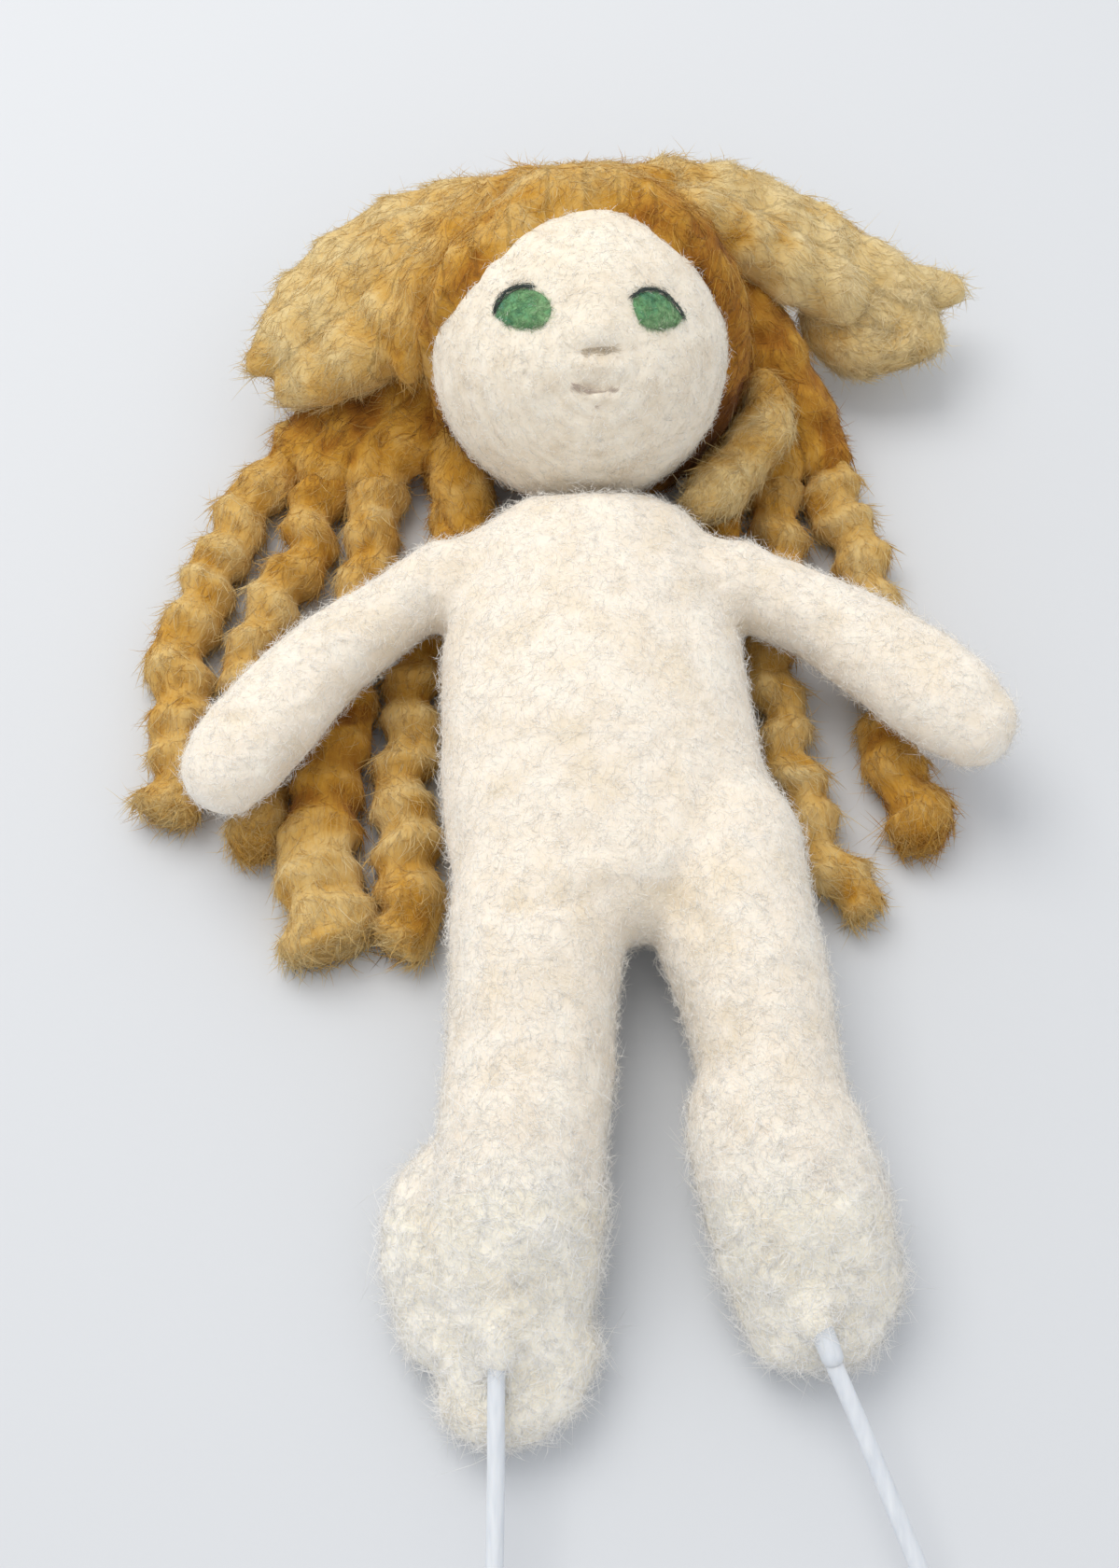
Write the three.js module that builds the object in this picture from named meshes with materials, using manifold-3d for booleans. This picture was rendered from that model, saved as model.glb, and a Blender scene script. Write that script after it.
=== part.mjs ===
// A needle-felted wool doll on a shape-keeping wire armature, lying on its back with its face up.
// Millimetres, +Z up, +Y towards the head, +X towards the doll's own left hand.
// The origin is on the flat of the back, between the chest and the waist.
import * as THREE from "three";
import { mergeVertices } from "three/addons/utils/BufferGeometryUtils.js";
import Module from "manifold-3d";

const wasm = await Module();
wasm.setup();

// Clearances
const TOUCH_GAP = 0.3; // between soft pieces that touch
const SWING_GAP = 0.45; // round a piece that turns in its neighbour
const BACK_FLAT = 0.5; // how deep the torso's back is cut flat where it lies

// Torso
const CHEST_HALF_WIDTH = 20;
const HIP_HALF_WIDTH = 22.2;
const TORSO_HALF_DEPTH = 13.4;
const SHOULDER_HALF_SPAN = 18.6; // from the middle to the face that an arm turns on
const SHOULDER_Y = 26.2;
const SHOULDER_Z = 14.5;
const TORSO_TOP_Y = 39;
const TORSO_TOP_RISE = 5.4; // how far the top's middle lies above the chest's
const HIP_Y = -15;
const HIP_SHIFT = 4.2; // the hips lie a little to the doll's left of the chest

// Head and face
const HEAD_RADIUS = 20.2;
const HEAD_CENTRE_Z = 24; // height of the head's middle as it lies on its hair
const HEAD_SHIFT = -1.2;
const NECK_OVERLAP = 2.3; // how far the torso's dome would reach into the ball before it is hollowed
const EYE_HALF_WIDTH = 3.6;
const EYE_HALF_HEIGHT = 2.9;
const INLAY_DEPTH = 0.7; // how deep eyes, lashes and mouth are needled into the face
const INLAY_PROUD = 0.25; // how far they stand out of it
const LASH_THICKNESS = 0.8;
const NOSE_HALF_WIDTH = 2.3;
const MOUTH_HALF_WIDTH = 2.7;
const MOUTH_THICKNESS = 0.9;

// Arms
const ARM_HALF_WIDTH = 5.9;
const HAND_HALF_WIDTH = 6.8;
const ARM_ROOT_RADIUS = 7.2;
const ARM_ROOT_LENGTH = 5.5; // how far the round root reaches out along the shoulder's axis
const ARM_ROOT_ROOM = 8; // width of the room cut for it at the torso's side
const UPPER_ARM_LENGTH = 15.4;
const FOREARM_LENGTH = 27.6;
const RIGHT_UPPER_ARM_DROP = 35; // degrees below the line of the shoulders
const RIGHT_FOREARM_DROP = 51;
const LEFT_UPPER_ARM_DROP = 27;
const LEFT_FOREARM_DROP = 41;

// Legs
const LEG_RADIUS = 11; // half the depth of a leg at the hip, and its hinge barrel's radius
const KNEE_RADIUS = 9.4;
const RIGHT_LEG_HALF_WIDTH = 11.7;
const LEFT_LEG_HALF_WIDTH = 10.1;
const CROTCH_GAP = 0.6;
const THIGH_LENGTH = 28;
const SHIN_LENGTH = 14;
const RIGHT_FOOT_LENGTH = 24;
const LEFT_FOOT_LENGTH = 17.6;
const RIGHT_LEG_SPLAY = 3.5; // degrees outwards
const LEFT_LEG_SPLAY = 9.5;

// Armature
const WIRE_RADIUS = 1;
const WIRE_CLEARANCE = 0.3;
const WIRE_PITCH = 2.9; // between the two strands side by side
const WIRE_BARE_LENGTH = 31; // of the ends that stick out of the feet
const WIRE_EXIT_SHIFT = -1.1; // the strands leave the feet a little to the doll's right of their middle
const RIGHT_TAIL_SPLAY = 0.5; // degrees that a bare end leans outwards
const LEFT_TAIL_SPLAY = 21;
const TAIL_FALL = 3.5; // how much lower a bare end's tip is than its exit
const HEAD_LOOP_DEPTH = 20;
const HAND_WIRE_MARGIN = 7; // wool beyond the wire's end in each hand

// Hair
const CAP_THICKNESS = 4.2;
const LOCK_HALF_WIDTH = 3.4;
const LOCK_HALF_DEPTH = 3.3;
const LOCK_FLOOR_GAP = 0.25;

// How far the joints turn, in degrees
const NECK_NOD = 25;
const HIP_SWING = 80;
const KNEE_BEND = 80;
const ELBOW_BEND = 75;

// Facets
const BODY_SIDES = 20;
const LIMB_SIDES = 12;
const LOCK_SIDES = 8;
const WIRE_SIDES = 8;
const BARREL_SEGMENTS = 8;
const BALL_SIDES = 22;
const BALL_RINGS = 14;
const FAR = 200; // a length beyond everything, for cutting blocks

const X = new THREE.Vector3(1, 0, 0);
const Z = new THREE.Vector3(0, 0, 1);
const rad = THREE.MathUtils.degToRad;
const vec = (x, y, z) => new THREE.Vector3(x, y, z);

// Solids
function solid(geometry) {
  const plain = geometry.clone();
  plain.deleteAttribute("normal");
  plain.deleteAttribute("uv");
  const merged = mergeVertices(plain, 1e-4);
  return new wasm.Manifold(
    new wasm.Mesh({
      numProp: 3,
      vertProperties: new Float32Array(merged.attributes.position.array),
      triVerts: new Uint32Array(merged.index.array),
    }),
  );
}

function geometryOf(body) {
  const made = body.getMesh();
  const geometry = new THREE.BufferGeometry();
  geometry.setAttribute("position", new THREE.BufferAttribute(made.vertProperties, 3));
  geometry.setIndex(new THREE.BufferAttribute(made.triVerts, 1));
  geometry.computeVertexNormals();
  return geometry;
}

// A block that fills one side of a plane, for cutting: everything beyond `point` along `normal`.
function beyond(point, normal) {
  const block = new THREE.BoxGeometry(FAR, FAR, FAR);
  block.translate(0, 0, FAR / 2);
  block.applyQuaternion(new THREE.Quaternion().setFromUnitVectors(Z, normal.clone().normalize()));
  block.translate(point.x, point.y, point.z);
  return solid(block);
}

// A closed skin over a row of elliptical rings. A frame is a ring's middle, its direction and its half width
// and half depth, and `first` and `last` are the points that close the ends.
function skin(frames, first, last, sides) {
  const positions = [];
  for (const { at, tangent, wide, deep } of frames) {
    const up = Z.clone().addScaledVector(tangent, -Z.dot(tangent)).normalize();
    const side = up.clone().cross(tangent);
    for (let i = 0; i < sides; i++) {
      const turn = (2 * Math.PI * i) / sides;
      const p = at.clone().addScaledVector(side, wide * Math.cos(turn)).addScaledVector(up, deep * Math.sin(turn));
      positions.push(p.x, p.y, p.z);
    }
  }
  const firstPole = frames.length * sides;
  const index = [];
  positions.push(first.x, first.y, first.z, last.x, last.y, last.z);
  for (let j = 0; j < sides; j++) {
    const k = (j + 1) % sides;
    for (let low = 0; low < firstPole - sides; low += sides) {
      const high = low + sides;
      index.push(low + j, low + k, high + k, low + j, high + k, high + j);
    }
    index.push(firstPole, k, j, firstPole + 1, firstPole - sides + j, firstPole - sides + k);
  }
  const geometry = new THREE.BufferGeometry();
  geometry.setAttribute("position", new THREE.Float32BufferAttribute(positions, 3));
  geometry.setIndex(index);
  return geometry;
}

// A soft form strung on a smooth line through stations. A station is a point with the form's half width and
// half depth there. A round end is a dome, and a flat one is a face square to the line.
const station = (at, wide, deep = wide) => ({ at, wide, deep });
const DOME_STEPS = [30, 60];

function softForm(stations, { sides = LIMB_SIDES, rings = 9, grow = 0, roundStart = true, roundEnd = true } = {}) {
  const line = new THREE.CatmullRomCurve3(stations.map((s) => s.at));
  const sizes = new THREE.CatmullRomCurve3(stations.map((s) => vec(s.wide, s.deep, 0)));
  const frameAt = (t, forward = 0, shrink = 1) => {
    const tangent = line.getTangent(t);
    const size = sizes.getPoint(t);
    const at = line.getPoint(t).addScaledVector(tangent, forward);
    return { at, tangent, wide: (size.x + grow) * shrink, deep: (size.y + grow) * shrink };
  };
  const endFrames = (t, way, round) => {
    const flat = frameAt(t, way * grow);
    if (!round) return { rings: [flat], pole: flat.at };
    const depth = Math.min(frameAt(t).wide, frameAt(t).deep);
    const domed = DOME_STEPS.map((a) => frameAt(t, way * depth * Math.sin(rad(a)), Math.cos(rad(a))));
    return { rings: [frameAt(t), ...domed], pole: frameAt(t, way * depth).at };
  };
  const start = endFrames(0, -1, roundStart);
  const end = endFrames(1, 1, roundEnd);
  const middle = [];
  for (let i = 1; i < rings; i++) middle.push(frameAt(i / rings));
  return skin([...start.rings.reverse(), ...middle, ...end.rings], start.pole, end.pole, sides);
}

// A wire along a route, or the bore round it: `start` and `end` carry it on past its ends.
function wireForm(points, { grow = 0, start = 0, end = 0 } = {}) {
  const route = points.map((p) => p.clone());
  const n = route.length - 1;
  if (start) route.unshift(points[0].clone().addScaledVector(points[0].clone().sub(points[1]).normalize(), start));
  if (end) route.push(points[n].clone().addScaledVector(points[n].clone().sub(points[n - 1]).normalize(), end));
  const frames = route.map((at, i) => {
    const before = route[Math.max(i - 1, 0)];
    const after = route[Math.min(i + 1, route.length - 1)];
    return { at, tangent: after.clone().sub(before).normalize(), wide: WIRE_RADIUS + grow, deep: WIRE_RADIUS + grow };
  });
  return skin(frames, route[0], route[route.length - 1], WIRE_SIDES);
}

const smoothRoute = (points, steps) => new THREE.CatmullRomCurve3(points).getPoints(steps);
const boreForm = (points, start, end) => solid(wireForm(points, { grow: WIRE_CLEARANCE, start, end }));

// A hinge's room. `along` points from the pivot down the child at rest, and the child turns about `axis`.
// The profile is a half round behind the pivot and a strip in front of it, turned through `sweep` degrees.
function hingeRoom({ pivot, along, axis, radius }, { grow = 0, sweep = 0 } = {}) {
  const r = radius + grow;
  const lean = rad(90 + sweep);
  const profile = new THREE.Shape();
  profile.absarc(0, 0, r, rad(270), lean, true);
  profile.lineTo(r * Math.cos(lean) + FAR * Math.cos(rad(sweep)), r * Math.sin(lean) + FAR * Math.sin(rad(sweep)));
  if (sweep > 0) profile.lineTo(FAR, FAR * Math.sin(rad(sweep)));
  profile.lineTo(FAR, -r);
  const room = new THREE.ExtrudeGeometry(profile, {
    depth: FAR,
    bevelEnabled: false,
    curveSegments: BARREL_SEGMENTS,
  });
  room.translate(0, 0, -FAR / 2);
  const across = axis.clone().cross(along);
  const frame = new THREE.Matrix4().makeBasis(along, across, axis).setPosition(pivot);
  return solid(room.applyMatrix4(frame));
}

const root = new THREE.Group();
const WOOL = { color: 0xf0e6d8, roughness: 0.95, metalness: 0 };
const COLOURS = {
  wool: WOOL,
  loose_wool: { ...WOOL, color: 0xe6e0d3 },
  hair: { color: 0xcda052, roughness: 0.9, metalness: 0 },
  eye: { color: 0x4f7f5a, roughness: 0.9, metalness: 0 },
  lash: { color: 0x2c2a26, roughness: 0.9, metalness: 0 },
  mouth: { color: 0xc9b3aa, roughness: 0.95, metalness: 0 },
  wire: { color: 0xd5d8e0, roughness: 0.3, metalness: 0 },
};

function add(name, body, kind) {
  const mesh = new THREE.Mesh(geometryOf(body), new THREE.MeshStandardMaterial(COLOURS[kind]));
  mesh.name = name;
  root.add(mesh);
}

// The doll's right side is at -X and its left side at +X.
const SIDES = {
  right: {
    sign: -1,
    upperArmDrop: RIGHT_UPPER_ARM_DROP,
    forearmDrop: RIGHT_FOREARM_DROP,
    legHalfWidth: RIGHT_LEG_HALF_WIDTH,
    splay: RIGHT_LEG_SPLAY,
    footLength: RIGHT_FOOT_LENGTH,
    tailSplay: RIGHT_TAIL_SPLAY,
  },
  left: {
    sign: 1,
    upperArmDrop: LEFT_UPPER_ARM_DROP,
    forearmDrop: LEFT_FOREARM_DROP,
    legHalfWidth: LEFT_LEG_HALF_WIDTH,
    splay: LEFT_LEG_SPLAY,
    footLength: LEFT_FOOT_LENGTH,
    tailSplay: LEFT_TAIL_SPLAY,
  },
};
// The two thighs meet on this plane: the hips' outer edges, less each leg's own width.
const crotchX = HIP_SHIFT + (RIGHT_LEG_HALF_WIDTH - LEFT_LEG_HALF_WIDTH);

const flatDirection = (sign, drop) => vec(sign * Math.cos(rad(drop)), -Math.sin(rad(drop)), 0);
for (const side of Object.values(SIDES)) {
  side.shoulder = vec(side.sign * SHOULDER_HALF_SPAN, SHOULDER_Y, SHOULDER_Z);
  side.upperArmWay = flatDirection(side.sign, side.upperArmDrop);
  side.forearmWay = flatDirection(side.sign, side.forearmDrop);
  side.elbow = side.shoulder.clone().addScaledVector(side.upperArmWay, UPPER_ARM_LENGTH);
  side.handEnd = side.elbow.clone().addScaledVector(side.forearmWay, FOREARM_LENGTH);
  side.hip = vec(crotchX + side.sign * (CROTCH_GAP / 2 + side.legHalfWidth), HIP_Y, LEG_RADIUS);
  side.legWay = vec(side.sign * Math.sin(rad(side.splay)), -Math.cos(rad(side.splay)), 0);
  side.knee = side.hip.clone().addScaledVector(side.legWay, THIGH_LENGTH);
  side.knee.z = KNEE_RADIUS + LOCK_FLOOR_GAP;
  side.ankle = side.knee.clone().addScaledVector(side.legWay, SHIN_LENGTH);
  side.toe = side.ankle.clone().addScaledVector(side.legWay, side.footLength);
  side.hipHinge = { pivot: side.hip, along: vec(0, -1, 0), axis: vec(-1, 0, 0), radius: LEG_RADIUS };
  side.kneeHinge = {
    pivot: side.knee,
    along: side.legWay,
    axis: Z.clone().cross(side.legWay),
    radius: KNEE_RADIUS,
  };
  side.elbowHinge = {
    pivot: side.elbow,
    along: side.forearmWay,
    axis: side.forearmWay.clone().cross(Z),
    radius: ARM_HALF_WIDTH,
  };
}
const { left, right } = SIDES;

// The neck turns at the top of the torso, and the head's ball rests in the hollow of the dome.
const headCentre = vec(HEAD_SHIFT, TORSO_TOP_Y - NECK_OVERLAP + HEAD_RADIUS, HEAD_CENTRE_Z);
const neckPivot = vec(HEAD_SHIFT, headCentre.y - HEAD_RADIUS + 1, HEAD_CENTRE_Z - 4);
const capRadius = HEAD_RADIUS + TOUCH_GAP + CAP_THICKNESS;

function ball(radius) {
  const sphere = new THREE.SphereGeometry(radius, BALL_SIDES, BALL_RINGS).rotateX(rad(90));
  return solid(sphere.translate(headCentre.x, headCentre.y, headCentre.z));
}

function turned(body, pivot, axis, degrees) {
  const turn = new THREE.Matrix4().makeRotationAxis(axis, rad(degrees));
  const whole = new THREE.Matrix4().makeTranslation(pivot.x, pivot.y, pivot.z);
  whole.multiply(turn).multiply(new THREE.Matrix4().makeTranslation(-pivot.x, -pivot.y, -pivot.z));
  return solid(geometryOf(body).applyMatrix4(whole));
}

// The armature's routes through the torso: two strands from the neck to the hips and one across the shoulders.
const wireHalfPitch = WIRE_PITCH / 2;
const saddleY = HIP_Y + LEG_RADIUS + SWING_GAP;
const neckWireY = headCentre.y - HEAD_RADIUS - TOUCH_GAP;
function torsoRoute(side) {
  const points = [
    vec(HEAD_SHIFT + side.sign * wireHalfPitch, neckWireY - 1.6, neckPivot.z),
    vec(HEAD_SHIFT + side.sign * wireHalfPitch, SHOULDER_Y, SHOULDER_Z + WIRE_PITCH),
    vec(side.hip.x * 0.35 + side.sign * wireHalfPitch, (SHOULDER_Y + HIP_Y) / 2, TORSO_HALF_DEPTH),
    vec(side.hip.x, saddleY + 1, LEG_RADIUS),
  ];
  return smoothRoute(points, 8);
}
const shoulderRoute = [right, left].map((s) => s.shoulder.clone().addScaledVector(X, -s.sign * 0.6));

// Torso
function torso() {
  const middle = TORSO_HALF_DEPTH - BACK_FLAT;
  const dome = TORSO_TOP_Y - SHOULDER_Y;
  const stations = [
    station(vec(HIP_SHIFT, HIP_Y - LEG_RADIUS, LEG_RADIUS), HIP_HALF_WIDTH, LEG_RADIUS),
    station(vec(HIP_SHIFT * 0.85, HIP_Y + LEG_RADIUS, middle * 0.94), HIP_HALF_WIDTH * 0.97, TORSO_HALF_DEPTH * 0.94),
    station(vec(HIP_SHIFT * 0.3, HIP_Y + 2 * LEG_RADIUS, middle), (CHEST_HALF_WIDTH + HIP_HALF_WIDTH) / 2.06, TORSO_HALF_DEPTH),
    station(vec(0.3, SHOULDER_Y - 0.8 * dome, middle), CHEST_HALF_WIDTH, TORSO_HALF_DEPTH),
    station(vec(0.4, SHOULDER_Y, middle + TORSO_TOP_RISE * 0.11), CHEST_HALF_WIDTH * 0.94, TORSO_HALF_DEPTH * 0.92),
    station(vec(0.2, SHOULDER_Y + 0.48 * dome, middle + TORSO_TOP_RISE * 0.48), CHEST_HALF_WIDTH * 0.8, TORSO_HALF_DEPTH * 0.72),
    station(vec(-0.4, SHOULDER_Y + 0.8 * dome, middle + TORSO_TOP_RISE), CHEST_HALF_WIDTH * 0.48, TORSO_HALF_DEPTH * 0.4),
  ];
  let body = solid(softForm(stations, { sides: BODY_SIDES, rings: 11, roundStart: false }));
  body = body.subtract(beyond(vec(0, 0, 0), vec(0, 0, -1)));
  body = body.subtract(hingeRoom(right.hipHinge, { grow: SWING_GAP, sweep: HIP_SWING }));
  for (const s of [right, left]) {
    const face = vec(s.sign * (SHOULDER_HALF_SPAN - TOUCH_GAP), 0, 0);
    body = body.subtract(armRootRoom(s).intersect(beyond(face, vec(s.sign, 0, 0))));
    body = body.subtract(boreForm(torsoRoute(s), 4, 4));
  }
  body = body.subtract(boreForm(shoulderRoute, 4, 4));
  for (let nod = 0; nod <= NECK_NOD; nod += NECK_NOD / 4)
    body = body.subtract(turned(ball(HEAD_RADIUS + TOUCH_GAP), neckPivot, X, nod));
  return body;
}

// An arm's root is round about its axis, so it turns on the torso's side without touching it.
function armRoot(side, grow) {
  const profile = [
    new THREE.Vector2(0, -grow),
    new THREE.Vector2(ARM_ROOT_RADIUS + grow, -grow),
    new THREE.Vector2(ARM_ROOT_RADIUS + grow, ARM_ROOT_LENGTH * 0.4 + grow),
    new THREE.Vector2(ARM_ROOT_RADIUS * 0.8, ARM_ROOT_LENGTH * 0.91 + grow),
    new THREE.Vector2(0, ARM_ROOT_LENGTH + grow),
  ];
  const lathe = new THREE.LatheGeometry(profile, 20);
  lathe.rotateZ(rad(-90 * side.sign));
  lathe.translate(side.shoulder.x, side.shoulder.y, side.shoulder.z);
  return solid(lathe);
}

function upperArmTube(side, grow) {
  const inside = side.shoulder.clone().addScaledVector(side.upperArmWay, -3);
  const past = side.elbow.clone().addScaledVector(side.upperArmWay, ARM_HALF_WIDTH);
  const stations = [
    station(inside, ARM_ROOT_RADIUS * 0.86),
    station(side.shoulder.clone().lerp(side.elbow, 0.5), ARM_HALF_WIDTH * 1.02),
    station(past, ARM_HALF_WIDTH * 0.98),
  ];
  return solid(softForm(stations, { grow, rings: 5, roundStart: false, roundEnd: false }));
}

// The room that an arm's root sweeps at the torso's side, as far out as the torso reaches.
function armRootRoom(side) {
  const reach = ARM_ROOT_RADIUS * 1.28 + SWING_GAP;
  const disc = new THREE.CylinderGeometry(reach, reach, ARM_ROOT_ROOM, 24).rotateZ(rad(90));
  disc.translate(side.shoulder.x + side.sign * ARM_ROOT_ROOM * 0.375, side.shoulder.y, side.shoulder.z);
  return solid(disc);
}

const WIRE_END = 0.4; // a strand's end stays this far inside the face that it would pass

function arm(side, name) {
  const inner = beyond(side.shoulder, vec(-side.sign, 0, 0));
  const toHand = side.handEnd.clone().addScaledVector(side.forearmWay, -HAND_WIRE_MARGIN);
  const upperRoute = [
    side.shoulder.clone().addScaledVector(X, side.sign * WIRE_END),
    side.elbow.clone().addScaledVector(side.upperArmWay, -ARM_HALF_WIDTH - 1),
  ];
  const foreRoute = [side.elbow.clone().addScaledVector(side.forearmWay, -ARM_HALF_WIDTH + 1), toHand];
  const upper = armRoot(side, 0)
    .add(upperArmTube(side, 0))
    .subtract(inner)
    .subtract(hingeRoom(side.elbowHinge, { grow: SWING_GAP, sweep: ELBOW_BEND }))
    .subtract(boreForm(upperRoute, 3, 4));

  const behind = side.elbow.clone().addScaledVector(side.forearmWay, -ARM_HALF_WIDTH - 1);
  const along = (share) => side.elbow.clone().lerp(side.handEnd, share);
  const stations = [
    station(behind, ARM_HALF_WIDTH),
    station(along(0.25), ARM_HALF_WIDTH * 1.06, ARM_HALF_WIDTH),
    station(along(0.6), HAND_HALF_WIDTH, ARM_HALF_WIDTH * 1.03),
    station(along(0.82), HAND_HALF_WIDTH * 0.86, ARM_HALF_WIDTH * 0.84),
  ];
  const fore = solid(softForm(stations, { rings: 7, roundStart: false }))
    .intersect(hingeRoom(side.elbowHinge))
    .subtract(boreForm(foreRoute, 4, WIRE_CLEARANCE));

  add(`${name}_upper_arm`, upper, "wool");
  add(`${name}_forearm`, fore, "wool");
  add(`${name}_upper_arm_wire`, solid(wireForm(upperRoute)), "wire");
  add(`${name}_forearm_wire`, solid(wireForm(foreRoute)), "wire");
}

// Legs
function legRoutes(side) {
  const kneeGap = KNEE_RADIUS + SWING_GAP;
  const exit = side.ankle.clone().lerp(side.toe, 0.62);
  exit.x += WIRE_EXIT_SHIFT;
  exit.z = LEG_RADIUS;
  const tailWay = vec(side.sign * Math.sin(rad(side.tailSplay)), -Math.cos(rad(side.tailSplay)), 0);
  const tip = exit.clone().addScaledVector(tailWay, WIRE_BARE_LENGTH);
  tip.z -= TAIL_FALL;
  return {
    thigh: [
      side.hip.clone().addScaledVector(vec(0, 1, 0), LEG_RADIUS - 1),
      side.hip.clone(),
      side.knee.clone().addScaledVector(side.legWay, -kneeGap - WIRE_END),
    ],
    shin: smoothRoute([
      side.knee.clone().addScaledVector(side.legWay, -KNEE_RADIUS + 1),
      side.knee.clone(),
      side.ankle.clone().setZ(LEG_RADIUS - 0.5),
      exit,
      exit.clone().lerp(tip, 0.5),
      tip,
    ], 10),
  };
}

function leg(side, name) {
  const routes = legRoutes(side);
  const w = side.legHalfWidth;
  const other = beyond(vec(crotchX + (side.sign * CROTCH_GAP) / 2, 0, 0), vec(-side.sign, 0, 0));
  const above = side.hip.clone().addScaledVector(vec(0, 1, 0), LEG_RADIUS + 2);
  const below = side.knee.clone().addScaledVector(side.legWay, KNEE_RADIUS);
  const thigh = solid(
    softForm(
      [
        station(above, w * 0.97, LEG_RADIUS),
        station(side.hip, w, LEG_RADIUS),
        station(side.hip.clone().lerp(side.knee, 0.5), w * 0.93, LEG_RADIUS * 0.97),
        station(side.knee, w * 0.86, KNEE_RADIUS),
        station(below, w * 0.86, KNEE_RADIUS),
      ],
      { rings: 8, roundStart: false, roundEnd: false },
    ),
  )
    .intersect(hingeRoom(side.hipHinge))
    .subtract(other)
    .subtract(hingeRoom(side.kneeHinge, { grow: SWING_GAP, sweep: KNEE_BEND }))
    .subtract(boreForm(routes.thigh, 4, 4));

  const behindKnee = side.knee.clone().addScaledVector(side.legWay, -KNEE_RADIUS - 2);
  const shin = solid(
    softForm(
      [
        station(behindKnee, w * 0.86, KNEE_RADIUS),
        station(side.knee, w * 0.86, KNEE_RADIUS),
        station(side.ankle, w * 0.98, KNEE_RADIUS),
      ],
      { rings: 5, roundStart: false, roundEnd: false },
    ),
  )
    .intersect(hingeRoom(side.kneeHinge))
    .subtract(boreForm(routes.shin, 4, 0));

  const along = (share, drop) => side.ankle.clone().lerp(side.toe, share).addScaledVector(Z, -drop);
  const batt = solid(
    softForm(
      [
        station(along(0, 0), w * 1.04, KNEE_RADIUS),
        station(along(0.25, 0.9), w * 1.07, KNEE_RADIUS * 0.9),
        station(along(0.55, 3.2), w * 0.98, KNEE_RADIUS * 0.64),
        station(along(0.85, 4.5), w * 0.64, KNEE_RADIUS * 0.46),
      ],
      { rings: 7, roundStart: false },
    ),
  )
    .subtract(beyond(side.ankle.clone().addScaledVector(side.legWay, TOUCH_GAP), side.legWay.clone().negate()))
    .subtract(boreForm(routes.shin, 0, 0));

  add(`${name}_thigh`, thigh, "wool");
  add(`${name}_shin`, shin, "wool");
  add(`${name}_foot_batt`, batt, "loose_wool");
  add(`${name}_thigh_wire`, solid(wireForm(routes.thigh)), "wire");
  add(`${name}_shin_wire`, solid(wireForm(routes.shin)), "wire");
}

// Face: flat felted shapes laid into the ball. Each is drawn flat, then set on the ball where `x` and `y` say
// as it is seen from straight above the face.
const FACE_LEAN = 40; // degrees that the face looks down from straight up, towards the feet
const faceTurn = new THREE.Matrix4().makeRotationX(rad(FACE_LEAN));

function onFace(x, y, proud = 0) {
  const height = Math.sqrt(HEAD_RADIUS ** 2 - x * x - y * y);
  const out = vec(x, y, height).normalize();
  const frame = new THREE.Matrix4().makeRotationFromQuaternion(new THREE.Quaternion().setFromUnitVectors(Z, out));
  frame.setPosition(out.clone().multiplyScalar(HEAD_RADIUS + proud));
  return new THREE.Matrix4().setPosition(headCentre).multiply(faceTurn).multiply(frame);
}

function inlaid(shape, x, y, grow) {
  const depth = INLAY_DEPTH + INLAY_PROUD + (grow ? 2 : 0);
  const body = new THREE.ExtrudeGeometry(shape, { depth, bevelEnabled: false, curveSegments: 5 });
  body.translate(0, 0, -INLAY_DEPTH - grow);
  return solid(body.applyMatrix4(onFace(x, y)));
}

// An eye is round above and flatter below.
function eyeShape(grow) {
  const w = EYE_HALF_WIDTH + grow;
  const shape = new THREE.Shape();
  shape.absellipse(0, 0, w, EYE_HALF_HEIGHT + grow, 0, Math.PI, false, 0);
  shape.bezierCurveTo(-w, -1 - grow, -w * 0.6, -EYE_HALF_HEIGHT * 0.85 - grow, 0, -EYE_HALF_HEIGHT * 0.85 - grow);
  shape.bezierCurveTo(w * 0.6, -EYE_HALF_HEIGHT * 0.85 - grow, w, -1 - grow, w, 0);
  return shape;
}

// A lash is an arc that follows the eye's upper edge from `from` to `to` degrees.
function arcShape(halfWidth, halfHeight, thickness, from, to, grow) {
  const shape = new THREE.Shape();
  const more = rad(grow * 6);
  shape.absellipse(0, 0, halfWidth + thickness + grow, halfHeight + thickness + grow, rad(from) - more, rad(to) + more, false, 0);
  shape.absellipse(0, 0, halfWidth - grow, halfHeight - grow, rad(to) + more, rad(from) - more, true, 0);
  return shape;
}

const EYES = {
  right: { x: -7, y: 5.6, from: 55, to: 200 },
  left: { x: 9.8, y: 5.3, from: -15, to: 120 },
};
const NOSE_PLACE = { x: 1.7, y: 0.6 };
const MOUTH_PLACE = { x: 1.8, y: -3.9 };

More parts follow.
